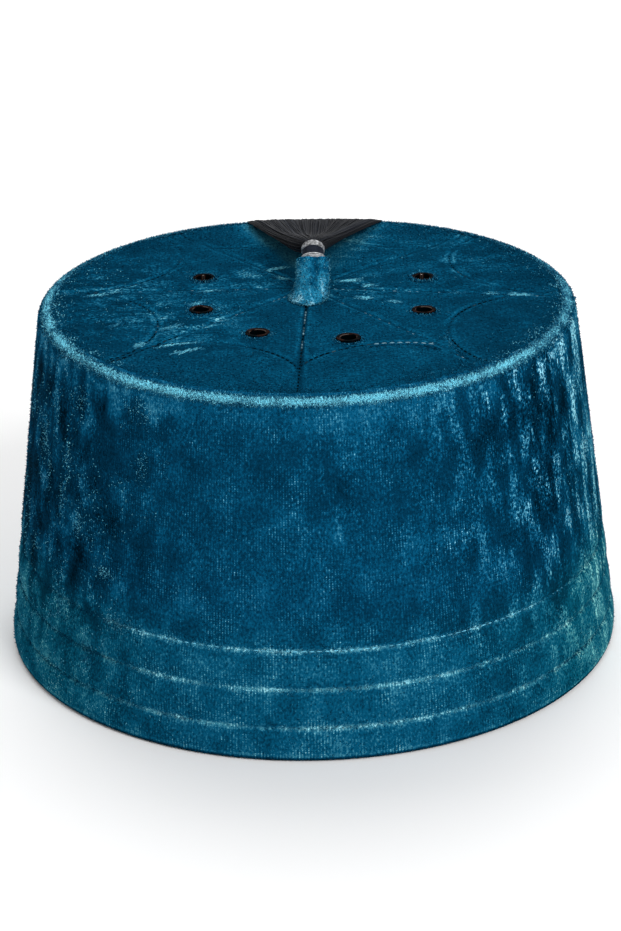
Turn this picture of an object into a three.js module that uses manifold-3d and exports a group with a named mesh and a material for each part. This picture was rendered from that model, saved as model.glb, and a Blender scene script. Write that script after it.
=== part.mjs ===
// A fez of teal velvet: a tapered side with a stitched hem, a flat tip pierced by six eyelets,
// and a charcoal tassel on a velvet stem that falls over the back of the rim.
// Millimetres, +Z up. The origin is the centre of the base, and the front of the hat faces -Y.

import * as THREE from 'three';
import { mergeVertices } from 'three/addons/utils/BufferGeometryUtils.js';
import Module from 'manifold-3d';

const wasm = await Module();
wasm.setup();

// Clearance between neighbouring pieces
const GAP = 0.3;

// Side of the crown, given by its straight wall carried on to the floor and to the top
const BASE_RADIUS = 96.8;
const TOP_RADIUS = 82.0;
const CROWN_HEIGHT = 108.4;
const SIDE_THICKNESS = 2.6;
const HEM_EDGE_RADIUS = 1.1;
const SHOULDER_RADIUS = 4.2;

// Three stitched rows round the hem, and how far the cloth swells between them
const FIRST_ROW_HEIGHT = 10.0;
const ROW_PITCH = 11.6;
const ROW_COUNT = 3;
const HEM_SWELL = 0.5;

// Tip of the crown: a panel a little below the shoulder, slightly crowned
const TIP_THICKNESS = 2.4;
const TIP_DROP = 0.5;
const TIP_CROWN = 0.5;
const TIP_EDGE_RADIUS = 0.9;

// The eyelets are set out from a centre that is a little off the hat's axis
const LAYOUT_X = 1.7;
const LAYOUT_Y = 3.2;

// Eyelets: angle in degrees from +X and radius about the layout centre
const EYELETS = [
  { angle: 156.1, radius: 37.0 },
  { angle: 203.7, radius: 36.9 },
  { angle: 245.6, radius: 39.7 },
  { angle: 283.7, radius: 43.2 },
  { angle: 330.0, radius: 38.6 },
  { angle: 18.0, radius: 36.4 },
];
const EYELET_FLANGE_RADIUS = 3.8;
const EYELET_BORE_RADIUS = 2.3;
const EYELET_WALL = 0.45;
const EYELET_ROLL = 0.6;
const EYELET_ROLL_TURN = THREE.MathUtils.degToRad(126);
const EYELET_BACK_RADIUS = 3.6;
const EYELET_BACK_THICKNESS = 0.5;

// Stem of the tassel: it rises from the tip and leans back towards +Y
const STEM_LENGTH = 11.8;
const STEM_LEAN = THREE.MathUtils.degToRad(35);
const STEM_X = 2.2;
const STEM_Y = -2.2;
const STEM_SECTIONS = [
  { at: 0.0, width: 13.4, depth: 12.4 },
  { at: 0.1, width: 12.6, depth: 11.4 },
  { at: 0.3, width: 10.8, depth: 9.0 },
  { at: 0.65, width: 10.2, depth: 7.8 },
  { at: 1.0, width: 10.0, depth: 7.4 },
];

// Neck of the tassel: it goes on from the stem and bends over until it points back
const NECK_LENGTH = 4.9;
const NECK_RADIUS = 2.2;
const NECK_BEND = THREE.MathUtils.degToRad(38);
const CORD_RADIUS = 0.55;
const CORDS = [
  { name: 'neck_cord_near', at: 1.3 },
  { name: 'neck_cord_far', at: 3.6 },
];

// Locks of the tassel: a fan from the neck to the back of the rim, then down the wall
const LOCK_COUNT = 9;
const FAN_CENTRE_X = 3.7;
const FAN_HALF_WIDTH = 20.0;
const NECK_HALF_SPREAD = 0.9;
const BULGE_HALF_SPREAD = 3.6;
const BULGE_LENGTH = 6.0;
const BULGE_RISE = -0.8;
const LOCK_SAG = 2.0;
const LOCK_CLEARANCE = 0.45;
const LOCK_END_HEIGHT = 58.0;
const LOCK_STAGGER = 3.0;
const LOWER_WALL_SHARE = 0.75;

// Sections of a lock, one for each point of its path: neck, bulge, middle of the span, rim,
// shoulder, head of the wall, lower wall and end
const LOCK_SECTIONS = [
  { at: 0, width: 2.4, thickness: 2.6 },
  { at: 1, width: 3.0, thickness: 4.0 },
  { at: 2, width: 4.8, thickness: 2.0 },
  { at: 3, width: 6.2, thickness: 1.1 },
  { at: 4, width: 6.3, thickness: 1.1 },
  { at: 5, width: 6.4, thickness: 1.2 },
  { at: 6, width: 6.6, thickness: 1.8 },
  { at: 7, width: 3.4, thickness: 0.9 },
];

// The rim is pressed down a little where the tassel crosses it
const PRESS_DEPTH = 1.2;
const PRESS_HALF_WIDTH = 30.0;
const PRESS_INNER_RADIUS = 50.0;
const PRESS_FOOT = 84.0;

// Facets
const CROWN_SEGMENTS = 72;
const SMALL_ROUND_SEGMENTS = 12;
const CHANNEL_STEPS = 4;
const SHOULDER_STEPS = 4;
const EDGE_STEPS = 2;
const TIP_RINGS = 3;
const STEM_STEPS = 8;
const STEM_SIDES = 16;
const NECK_STEPS = 6;
const LOCK_STEPS = 2 * (LOCK_SECTIONS.length - 1);
const LOCK_SIDES = 8;

// Levels that follow from the sizes above
const TIP_EDGE_RADIAL = TOP_RADIUS - SHOULDER_RADIUS - GAP;
const TIP_EDGE_LEVEL = CROWN_HEIGHT - TIP_DROP;

const VELVET = { color: 0x0b5a7a, roughness: 0.95, metalness: 0 };
const VELVET_BRIGHT = { color: 0x1d6d8c, roughness: 0.95, metalness: 0 };
const BLACK_METAL = { color: 0x14100e, roughness: 0.25, metalness: 0.6 };
const CHARCOAL_THREAD = { color: 0x3a393e, roughness: 0.6, metalness: 0 };
const SILVER_CORD = { color: 0xa8b0b6, roughness: 0.4, metalness: 0.5 };

const hat = new THREE.Group();

function addPiece(name, geometry, finish) {
  const piece = new THREE.Mesh(geometry, new THREE.MeshStandardMaterial(finish));
  piece.name = name;
  hat.add(piece);
  return piece;
}

function weld(geometry) {
  geometry.deleteAttribute('normal');
  geometry.deleteAttribute('uv');
  return mergeVertices(geometry);
}

function toSolid(geometry) {
  const welded = weld(geometry);
  return new wasm.Manifold(new wasm.Mesh({
    numProp: 3,
    vertProperties: new Float32Array(welded.getAttribute('position').array),
    triVerts: new Uint32Array(welded.getIndex().array),
  }));
}

function fromSolid(solid) {
  const mesh = solid.getMesh();
  const geometry = new THREE.BufferGeometry();
  geometry.setAttribute('position', new THREE.BufferAttribute(mesh.vertProperties, 3));
  geometry.setIndex(new THREE.BufferAttribute(mesh.triVerts, 1));
  geometry.computeVertexNormals();
  return geometry;
}

// A solid of revolution about +Z from [radius, height] points
function turned(profile, segments) {
  const points = profile.map(([radius, height]) => new THREE.Vector2(radius, height));
  return new THREE.LatheGeometry(points, segments).rotateX(Math.PI / 2);
}

// Points of a circular arc in the [radius, height] plane, from one angle to another
function arc(centre, radius, fromAngle, toAngle, steps) {
  const points = [];
  for (let step = 0; step <= steps; step += 1) {
    const angle = THREE.MathUtils.lerp(fromAngle, toAngle, step / steps);
    points.push([centre[0] + radius * Math.cos(angle), centre[1] + radius * Math.sin(angle)]);
  }
  return points;
}

// A closed body swept along a path: a unit cylinder whose rings take the place and size of sections.
// sectionAt(t) gives the centre and the half-width and half-thickness vectors at t from 0 to 1.
function swept(sectionAt, sides, steps) {
  const geometry = new THREE.CylinderGeometry(1, 1, 1, sides, steps);
  const position = geometry.getAttribute('position');
  for (let index = 0; index < position.count; index += 1) {
    const section = sectionAt(position.getY(index) + 0.5);
    const point = section.centre.clone()
      .addScaledVector(section.across, position.getX(index))
      .addScaledVector(section.through, position.getZ(index));
    position.setXYZ(index, point.x, point.y, point.z);
  }
  return geometry;
}

// A value from a table of rows with an "at" column, read between its rows
function fromTable(rows, column, at) {
  const next = Math.max(1, rows.findIndex((row) => row.at >= at));
  const before = rows[next - 1];
  const after = rows[next];
  const share = (at - before.at) / (after.at - before.at);
  return THREE.MathUtils.lerp(before[column], after[column], share);
}

// Radius of the straight wall at a height, without the swell of the hem
function wallRadius(height) {
  return THREE.MathUtils.lerp(BASE_RADIUS, TOP_RADIUS, height / CROWN_HEIGHT);
}

// Height of the tip's upper face at a distance from the axis
function tipLevel(radius) {
  return TIP_EDGE_LEVEL + TIP_CROWN * (1 - (radius / TIP_EDGE_RADIAL) ** 2);
}

// How far a place on the crown is pressed down by the tassel: most at the back of the rim, fading
// to the sides, towards the middle of the tip and down the wall
function pressAt(x, y, z) {
  if (y <= 0) return 0;
  const sideways = Math.exp(-(((x - FAN_CENTRE_X) / PRESS_HALF_WIDTH) ** 2));
  const outward = THREE.MathUtils.smoothstep(Math.hypot(x, y), PRESS_INNER_RADIUS, TOP_RADIUS);
  const upward = THREE.MathUtils.smoothstep(z, PRESS_FOOT, CROWN_HEIGHT);
  return PRESS_DEPTH * sideways * outward * upward;
}

function pressed(geometry) {
  const position = geometry.getAttribute('position');
  for (let index = 0; index < position.count; index += 1) {
    const [x, y, z] = [position.getX(index), position.getY(index), position.getZ(index)];
    position.setZ(index, z - pressAt(x, y, z));
  }
  return geometry;
}

// Side of the crown

// The hem is sewn down at each row, and swells into a shallow channel between one row and the next
function hemProfile() {
  const points = [];
  let channelFoot = 0;
  for (let row = 0; row < ROW_COUNT; row += 1) {
    const channelTop = FIRST_ROW_HEIGHT + row * ROW_PITCH;
    for (let step = 1; step <= CHANNEL_STEPS; step += 1) {
      const share = step / CHANNEL_STEPS;
      const height = THREE.MathUtils.lerp(channelFoot, channelTop, share);
      points.push([wallRadius(height) - HEM_SWELL * (1 - Math.sin(Math.PI * share)), height]);
    }
    channelFoot = channelTop;
  }
  points.push([wallRadius(channelFoot + ROW_PITCH / 3), channelFoot + ROW_PITCH / 3]);
  return points;
}

function crownSide() {
  const footRadius = wallRadius(0);
  const edgeCentre = [footRadius - HEM_EDGE_RADIUS, HEM_EDGE_RADIUS];
  const shoulderLevel = CROWN_HEIGHT - SHOULDER_RADIUS;
  const shoulderCentre = [wallRadius(shoulderLevel) - SHOULDER_RADIUS, shoulderLevel];
  const innerRadius = SHOULDER_RADIUS - SIDE_THICKNESS;
  const profile = [
    [footRadius - SIDE_THICKNESS, 0],
    ...arc(edgeCentre, HEM_EDGE_RADIUS, -Math.PI / 2, -Math.PI / 8, EDGE_STEPS),
    ...hemProfile(),
    ...arc(shoulderCentre, SHOULDER_RADIUS, 0, Math.PI / 2, SHOULDER_STEPS),
    [TIP_EDGE_RADIAL + GAP, CROWN_HEIGHT],
    [TIP_EDGE_RADIAL + GAP, CROWN_HEIGHT - SIDE_THICKNESS],
    ...arc(shoulderCentre, innerRadius, Math.PI / 2, 0, EDGE_STEPS),
    [footRadius - SIDE_THICKNESS, 0],
  ];
  return pressed(weld(turned(profile, CROWN_SEGMENTS)));
}

// Tip of the crown, pierced for the eyelets

function eyeletPlace({ angle, radius }) {
  const turn = THREE.MathUtils.degToRad(angle);
  const x = LAYOUT_X + radius * Math.cos(turn);
  const y = LAYOUT_Y + radius * Math.sin(turn);
  return new THREE.Vector3(x, y, tipLevel(Math.hypot(x, y)));
}

function crownTip() {
  const underside = TIP_EDGE_LEVEL - TIP_THICKNESS;
  const edgeCentre = [TIP_EDGE_RADIAL - TIP_EDGE_RADIUS, TIP_EDGE_LEVEL - TIP_EDGE_RADIUS];
  const profile = [
    [0, underside + TIP_CROWN],
    [TIP_EDGE_RADIAL, underside],
    ...arc(edgeCentre, TIP_EDGE_RADIUS, 0, Math.PI / 2, EDGE_STEPS),
  ];
  for (let ring = TIP_RINGS - 1; ring >= 0; ring -= 1) {
    const radius = TIP_EDGE_RADIAL * ring / TIP_RINGS;
    profile.push([radius, tipLevel(radius)]);
  }
  let solid = toSolid(pressed(turned(profile, CROWN_SEGMENTS)));
  const holeRadius = EYELET_BORE_RADIUS + EYELET_WALL + GAP;
  const drillLength = 4 * TIP_THICKNESS;
  for (const row of EYELETS) {
    const place = eyeletPlace(row);
    const drill = new THREE.CylinderGeometry(holeRadius, holeRadius, drillLength, SMALL_ROUND_SEGMENTS)
      .rotateX(Math.PI / 2)
      .translate(place.x, place.y, place.z);
    solid = solid.subtract(toSolid(drill));
  }
  return fromSolid(solid);
}

// An eyelet: a rolled flange on the tip, a barrel through it and a clinched flange underneath.
// Its own origin is on the tip's upper face.
function eyelet() {
  const barrelRadius = EYELET_BORE_RADIUS + EYELET_WALL;
  const seat = GAP;
  const back = -TIP_THICKNESS - GAP - TIP_CROWN / 2;
  const rollCentre = [EYELET_FLANGE_RADIUS - EYELET_ROLL, seat];
  const profile = [
    [EYELET_BORE_RADIUS, back - EYELET_BACK_THICKNESS],
    [EYELET_BACK_RADIUS, back - EYELET_BACK_THICKNESS],
    [EYELET_BACK_RADIUS, back],
    [barrelRadius, back],
    [barrelRadius, seat],
    ...arc(rollCentre, EYELET_ROLL, 0, EYELET_ROLL_TURN, SHOULDER_STEPS),
    [EYELET_BORE_RADIUS, seat],
    [EYELET_BORE_RADIUS, back - EYELET_BACK_THICKNESS],
  ];
  return weld(turned(profile, SMALL_ROUND_SEGMENTS));
}

// Spine of the tassel: the stem and then the neck, two arcs in the plane of the stem.
// Each is a start place, a lean from the vertical there and a turn for each millimetre.
const STEM_START = {
  y: STEM_Y,
  z: tipLevel(0) + GAP,
  lean: 0,
  turn: STEM_LEAN / STEM_LENGTH,
};

function alongArc(start, distance) {
  const lean = start.lean + start.turn * distance;
  return {
    y: start.y + (Math.cos(start.lean) - Math.cos(lean)) / start.turn,
    z: start.z + (Math.sin(lean) - Math.sin(start.lean)) / start.turn,
    lean,
  };
}

const STEM_END = alongArc(STEM_START, STEM_LENGTH);
const NECK_START = { ...STEM_END, turn: NECK_BEND / NECK_LENGTH };
const NECK_END = alongArc(NECK_START, NECK_LENGTH);

// A round or flattened section across the spine
function spineSection(place, width, depth) {
  return {
    centre: new THREE.Vector3(STEM_X, place.y, place.z),
    across: new THREE.Vector3(width / 2, 0, 0),
    through: new THREE.Vector3(0, -Math.cos(place.lean), Math.sin(place.lean)).multiplyScalar(depth / 2),
  };
}

function tasselStem() {
  const sectionAt = (t) => spineSection(
    alongArc(STEM_START, t * STEM_LENGTH),
    fromTable(STEM_SECTIONS, 'width', t),
    fromTable(STEM_SECTIONS, 'depth', t),
  );
  return weld(swept(sectionAt, STEM_SIDES, STEM_STEPS));
}

function tasselNeck() {
  const sectionAt = (t) => spineSection(
    alongArc(NECK_START, THREE.MathUtils.lerp(GAP, NECK_LENGTH, t)),
    2 * NECK_RADIUS,
    2 * NECK_RADIUS,
  );
  return swept(sectionAt, STEM_SIDES, NECK_STEPS);
}

// The path of a lock, from the neck to the rim, round the shoulder and down the wall.
// side goes from -1 at the left of the fan to 1 at the right.
function lockPath(side, endHeight) {
  const rimX = FAN_CENTRE_X + side * FAN_HALF_WIDTH;
  const bearing = Math.acos(rimX / TOP_RADIUS);
  const standOff = LOCK_CLEARANCE + LOCK_SECTIONS[3].thickness / 2;
  const onWall = (radius, height) => {
    const x = radius * Math.cos(bearing);
    const y = radius * Math.sin(bearing);
    return new THREE.Vector3(x, y, height - pressAt(x, y, height));
  };
  const shoulder = CROWN_HEIGHT - SHOULDER_RADIUS;
  const roundShoulder = (angle) => onWall(
    wallRadius(shoulder) - SHOULDER_RADIUS + (SHOULDER_RADIUS + standOff) * Math.cos(angle),
    shoulder + (SHOULDER_RADIUS + standOff) * Math.sin(angle),
  );
  const neckEnd = new THREE.Vector3(STEM_X + side * NECK_HALF_SPREAD, NECK_END.y - GAP, NECK_END.z);
  const bulge = new THREE.Vector3(
    STEM_X + side * BULGE_HALF_SPREAD,
    NECK_END.y + BULGE_LENGTH,
    NECK_END.z + BULGE_RISE,
  );
  const rim = roundShoulder(Math.PI / 2);
  const middle = bulge.clone().lerp(rim, 0.5);
  middle.z -= LOCK_SAG;
  const lowStandOff = LOCK_CLEARANCE + LOCK_SECTIONS[6].thickness / 2;
  const lowerHeight = THREE.MathUtils.lerp(shoulder, endHeight, LOWER_WALL_SHARE);
  return new THREE.CatmullRomCurve3([
    neckEnd,
    bulge,
    middle,
    rim,
    roundShoulder(Math.PI / 4),
    onWall(wallRadius(shoulder) + standOff, shoulder),
    onWall(wallRadius(lowerHeight) + lowStandOff, lowerHeight),
    onWall(wallRadius(endHeight) + lowStandOff, endHeight),
  ]);
}

function lock(side, endHeight) {
  const path = lockPath(side, endHeight);
  const end = path.getPoint(1);
  const across = new THREE.Vector3(end.y, -end.x, 0).normalize();
  const sectionAt = (t) => {
    const at = t * (LOCK_SECTIONS.length - 1);
    const through = across.clone().cross(path.getTangent(t)).normalize();
    return {
      centre: path.getPoint(t),
      across: across.clone().multiplyScalar(fromTable(LOCK_SECTIONS, 'width', at) / 2),
      through: through.multiplyScalar(fromTable(LOCK_SECTIONS, 'thickness', at) / 2),
    };
  };
  return swept(sectionAt, LOCK_SIDES, LOCK_STEPS);
}

function tassel() {
  let solid = toSolid(tasselNeck());
  for (let index = 0; index < LOCK_COUNT; index += 1) {
    const side = 2 * index / (LOCK_COUNT - 1) - 1;
    const endHeight = LOCK_END_HEIGHT + (index % 2) * LOCK_STAGGER;
    solid = solid.add(toSolid(lock(side, endHeight)));
  }
  return fromSolid(solid);
}

// A cord wound round the neck, as one ring across the spine
function addNeckCord({ name, at }) {
  const place = alongArc(NECK_START, at);
  const ringRadius = NECK_RADIUS + GAP + CORD_RADIUS;
  const ring = new THREE.TorusGeometry(ringRadius, CORD_RADIUS, LOCK_SIDES, STEM_SIDES);
  const piece = addPiece(name, weld(ring), SILVER_CORD);
  piece.position.set(STEM_X, place.y, place.z);
  piece.rotation.x = -place.lean;
}

addPiece('crown_side', crownSide(), VELVET);
addPiece('crown_tip', crownTip(), VELVET);
EYELETS.forEach((row, index) => {
  addPiece(`eyelet_${index + 1}`, eyelet(), BLACK_METAL).position.copy(eyeletPlace(row));
});
addPiece('tassel_stem', tasselStem(), VELVET_BRIGHT);
addPiece('tassel', tassel(), CHARCOAL_THREAD);
CORDS.forEach(addNeckCord);

export default hat;
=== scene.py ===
"""A fez of teal crushed velvet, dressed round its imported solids.

Metres, +Z up, the front of the hat towards -Y. The velvet side, tip and stem, the eyelets, the
wound neck and the threads of the tassel stand for the solids of the same parts. Pile and stitches
are added on top of them.
"""

import math

import bmesh
import bpy
import numpy as np
from bpy.props import FloatProperty, FloatVectorProperty, IntProperty, PointerProperty
from mathutils import Matrix, Vector, noise


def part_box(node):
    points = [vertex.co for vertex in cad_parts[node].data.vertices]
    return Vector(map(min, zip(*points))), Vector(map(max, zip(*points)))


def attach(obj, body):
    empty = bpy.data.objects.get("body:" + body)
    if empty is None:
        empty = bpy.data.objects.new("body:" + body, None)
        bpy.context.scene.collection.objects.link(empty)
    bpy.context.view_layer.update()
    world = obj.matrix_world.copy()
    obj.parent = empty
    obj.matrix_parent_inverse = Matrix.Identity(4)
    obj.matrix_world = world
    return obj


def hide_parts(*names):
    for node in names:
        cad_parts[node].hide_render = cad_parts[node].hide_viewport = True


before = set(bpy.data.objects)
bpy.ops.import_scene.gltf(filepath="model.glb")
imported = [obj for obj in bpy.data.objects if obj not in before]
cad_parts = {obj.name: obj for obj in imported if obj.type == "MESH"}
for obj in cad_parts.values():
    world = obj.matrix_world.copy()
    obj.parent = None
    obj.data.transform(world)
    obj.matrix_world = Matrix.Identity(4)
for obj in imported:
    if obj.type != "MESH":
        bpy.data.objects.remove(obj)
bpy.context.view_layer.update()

bl_info = {
    "name": "Velvet fez",
    "version": (1, 0, 0),
    "blender": (4, 5, 0),
    "location": "View3D > Sidebar > Fez",
    "description": "Builds a crushed velvet fez with a stitched tip, eyelets and a tassel",
    "category": "Add Mesh",
}

SIDE_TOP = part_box("crown_side")[1].z
STEM_LOW, STEM_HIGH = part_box("tassel_stem")
EYELET_NODES = [name for name in sorted(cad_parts) if name.startswith("eyelet_")]
EYELET_CENTRES = [np.mean(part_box(name), axis=0)[:2] for name in EYELET_NODES]

# Crushed pile on the side: bearing and reach in degrees from +X, height and rise, strength
SIDE_CRUSH = [
    (-38, 14, 0.074, 0.046, 0.85),
    (-10, 18, 0.060, 0.052, 1.0),
    (-60, 9, 0.066, 0.040, 0.3),
    (-86, 5, 0.080, 0.012, 0.4),
    (-36, 26, 0.099, 0.010, 0.6),
    (-160, 26, 0.095, 0.012, 0.6),
    (-150, 18, 0.055, 0.036, 0.75),
    (175, 20, 0.050, 0.045, 0.65),
    (60, 40, 0.055, 0.045, 0.5),
    (125, 25, 0.060, 0.040, 0.55),
]

# Crushed pile on the tip: x, y, reach, strength
TIP_CRUSH = [
    (-0.050, -0.010, 0.022, 0.5),
    (-0.030, -0.022, 0.014, 0.4),
    (-0.062, 0.022, 0.018, 0.45),
    (0.018, 0.006, 0.013, 0.6),
    (-0.018, 0.018, 0.012, 0.5),
    (0.055, 0.030, 0.024, 0.25),
    (0.020, 0.055, 0.020, 0.3),
]

# Level bands on the side, of paler or darker pile and, lowest, a painted highlight: change, height,
# half-width
SIDE_BANDS = [
    (0.09, 0.103, 0.006),
    (-0.04, 0.088, 0.012),
    # A painted highlight along the top of the rolled lower edge
    (0.10, 0.0018, 0.0005),
]

# Slow changes on the side, of the pile and of painted shade and sheen: change, axis (0 is X, 2 is Z), where
# it starts and is full
SIDE_FADES = [
    (0.12, 2, 0.044, 0.026),
    # Painted shade along the lower edge, where the side turns under
    (-0.35, 2, 0.0014, 0.0006),
    # Painted sheen, paler towards the right edge
    (0.20, 0, 0.066, 0.090),
    # Painted shade, darker towards the left side
    (-0.09, 0, -0.02, -0.085),
]

# Creases on the tip where the pile lies open: x and y of the middle, bearing in degrees from +X,
# length, bow of the middle to the left, strength
TIP_FLECKS = [
    (-0.0097, 0.0265, 12, 0.0085, 0.0, 1.0),
    (-0.0081, 0.0179, -20, 0.0075, 0.0, 0.7),
    (0.0131, 0.0128, 10, 0.0080, 0.0004, 0.95),
    (0.0190, 0.0077, 0, 0.0060, 0.0006, 0.75),
    (0.0169, -0.0033, -24, 0.0065, 0.0, 0.9),
    (0.0262, -0.0075, -30, 0.0060, 0.0, 0.7),
    (-0.0632, 0.0069, 25, 0.0140, 0.0, 0.8),
    (-0.0381, -0.0402, 17, 0.0150, 0.0010, 0.85),
    (-0.0356, -0.0459, 25, 0.0110, 0.0, 0.85),
    (-0.0410, -0.0257, 36, 0.0095, 0.0, 0.65),
    (-0.0494, -0.0389, 43, 0.0060, 0.0, 0.75),
    (-0.0574, -0.0227, 42, 0.0070, 0.0, 0.55),
    (0.0278, -0.0470, -6, 0.0209, 0.0032, 0.35),
    (-0.0300, 0.0060, 15, 0.0120, 0.0008, 0.65),
    (-0.0340, -0.0060, 30, 0.0070, 0.0, 0.7),
    (0.0455, 0.0012, -9, 0.0092, 0.0, 0.5),
    (0.0559, -0.0001, -9, 0.0068, 0.0, 0.65),
    (0.0648, -0.0014, -9, 0.0085, 0.0, 0.85),
    (0.0441, -0.0402, -82, 0.0284, -0.0030, 0.55),
]

# Splayed tufts on the side: bearing in degrees from +X, height, half-width, half-height, brightness
SIDE_FLECKS = [
    (-145.5, 0.0772, 0.0012, 0.0040, 0.90),
    (-124.4, 0.0826, 0.0014, 0.0028, 0.70),
    (-132.5, 0.0479, 0.0022, 0.0010, 0.80),
    (-156.5, 0.0774, 0.0016, 0.0036, 0.75),
    (-152.9, 0.0693, 0.0014, 0.0034, 0.75),
    (-140.5, 0.0596, 0.0016, 0.0034, 0.65),
    (-146.9, 0.0631, 0.0014, 0.0040, 0.70),
    (-129.0, 0.0330, 0.0022, 0.0018, 0.60),
    (-145.9, 0.0317, 0.0018, 0.0030, 0.65),
    (-135.9, 0.0203, 0.0020, 0.0024, 0.55),
    (-141.5, 0.0960, 0.0020, 0.0034, 0.75),
    (-125.1, 0.0990, 0.0030, 0.0024, 0.75),
    (-151.2, 0.0858, 0.0016, 0.0040, 0.75),
]

# Fibres of pile: on each part, and in each tuft, crease, eyelet's surround and edge
SHOULDER_FIBRES, HEM_ROW_FIBRES, STEM_FIBRES, SIDE_FIBRES, TIP_FIBRES = 40000, 5000, 3000, 36000, 18000
TUFT_FIBRES, FLECK_FIBRES, EYELET_FIBRES, EDGE_FIBRES = 120, 160, 420, 8000

# Bearings in degrees from +X of the seams sewn across the tip, and of the scallops between them
SEAM_BEARINGS = [-8.6, -54.3, -92.6, -134.0, -181.0, -234.0, -272.5, -316.0]
SCALLOP_BEARINGS = [-27.0, -71.7, -114.9, -160.7, -207.5, -252.0, -295.0, -340.2]
FRONT_SEAM = 2

# Stretches of scallop, as x, y and reach: bleached thread that shows, and thread under laid pile
BLEACHED_STRETCH = (0.0302, -0.0455, 0.0125)
HIDDEN_STRETCH = (-0.0265, -0.0440, 0.0105)

# Eyelets behind this line have a painted glint on the far wall of the throat, and sit deeper in the pile
FAR_EYELETS = 0.01

# Stem sections: share of the length, full width and full depth
STEM_SECTIONS = np.array([
    (0.0, 0.0120, 0.0142),
    (0.1, 0.0113, 0.0122),
    (0.3, 0.0105, 0.0094),
    (0.65, 0.0102, 0.0078),
    (1.0, 0.0100, 0.0074),
])

# Lock sections, one for each point of a lock's path from the neck to its end: width and thickness
LOCK_SECTIONS = np.array([
    (0.0024, 0.0026),
    (0.0030, 0.0040),
    (0.0048, 0.0020),
    (0.0062, 0.0008),
    (0.0063, 0.0008),
    (0.0064, 0.0010),
    (0.0066, 0.0018),
    (0.0034, 0.0009),
])
RIM_SECTION, LOW_SECTION = 3, 6

# Steps of the meshes, along and round each form
TIP_RINGS, TIP_STEPS, EYELET_STEPS = 92, 360, 48
STEM_RINGS, STEM_SIDES, CORD_SIDES, CORD_STEPS, NECK_RINGS, NECK_SIDES = 28, 64, 10, 72, 14, 24

# Soft boxes: place and size
LIGHTS = {
    "key": ((0.75, -1.05, 1.05), 0.7),
    "fill": ((-1.1, -0.75, 0.65), 0.9),
    "top": ((-0.1, 1.1, 1.5), 1.6),
}
LIT_HEIGHT, FLOOR_SIZE, FLOOR_GAP = 0.06, 4.0, 0.0002


def linear(code):
    """Linear colour of an sRGB hex code."""
    channels = [int(code[place:place + 2], 16) / 255 for place in (1, 3, 5)]
    return tuple(c / 12.92 if c <= 0.04045 else ((c + 0.055) / 1.055) ** 2.4 for c in channels)


def length(name, default, description):
    """A length property in metres."""
    return FloatProperty(name=name, description=description, default=default, unit="LENGTH",
                         subtype="DISTANCE", precision=5)


def colour(name, code, description):
    """A colour property given by its sRGB hex code."""
    return FloatVectorProperty(name=name, description=description, default=linear(code),
                               size=3, min=0, max=1, subtype="COLOR")


def angle(name, degrees, description):
    """An angle property given in degrees."""
    return FloatProperty(name=name, description=description, default=math.radians(degrees),
                         unit="ROTATION", subtype="ANGLE")


class FezCrown(bpy.types.PropertyGroup):
    """Sizes of the side and the tip."""
    height: length("Height", SIDE_TOP, "Height of the crown")
    base_radius: length("Base radius", 0.0968, "Straight side carried down to the floor")
    top_radius: length("Top radius", 0.0820, "Straight side carried up to the top")
    thickness: length("Side thickness", 0.0026, "Thickness of the side")
    shoulder: length("Shoulder radius", 0.0042, "Rounding where the side turns over")
    hem_edge: length("Hem edge radius", 0.0011, "Rounding of the lower edge")
    first_row: length("First row", 0.0100, "Height of the lowest stitched row")
    row_pitch: length("Row pitch", 0.0116, "Distance between stitched rows")
    row_count: IntProperty(name="Rows", description="Stitched rows round the hem", default=3, min=1)
    swell: length("Hem swell", 0.0005, "Swell of the cloth between rows")
    groove: length("Groove depth", 0.00035, "Depth of the valley along a row of stitches")
    groove_width: length("Groove width", 0.0008, "Half-width of that valley")
    tip_thickness: length("Tip thickness", 0.0024, "Thickness of the tip")
    tip_drop: length("Tip drop", 0.0005, "Drop of the tip's edge below the shoulder")
    tip_crown: length("Tip crown", 0.0005, "Rise of the tip's middle")
    tip_edge: length("Tip edge", 0.0786, "Radius of the tip")
    press_depth: length("Press depth", 0.0012, "How far the tassel presses the rim")
    press_width: length("Press width", 0.030, "Half-width of the pressed stretch of the rim")
    fan_x: length("Fan centre", 0.0037, "Where the tassel crosses the rim, along X")
    droop: length("Front droop", 0.0012, "How far the front of the rim sits lower")
    droop_width: angle("Droop width", 50, "Half-width of the drooping front of the rim")
    backing: colour("Backing", "#0a2a38", "Woven back of the velvet, inside the hat")
    steps: IntProperty(name="Steps", description="Steps round the crown", default=480, min=48)


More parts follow.
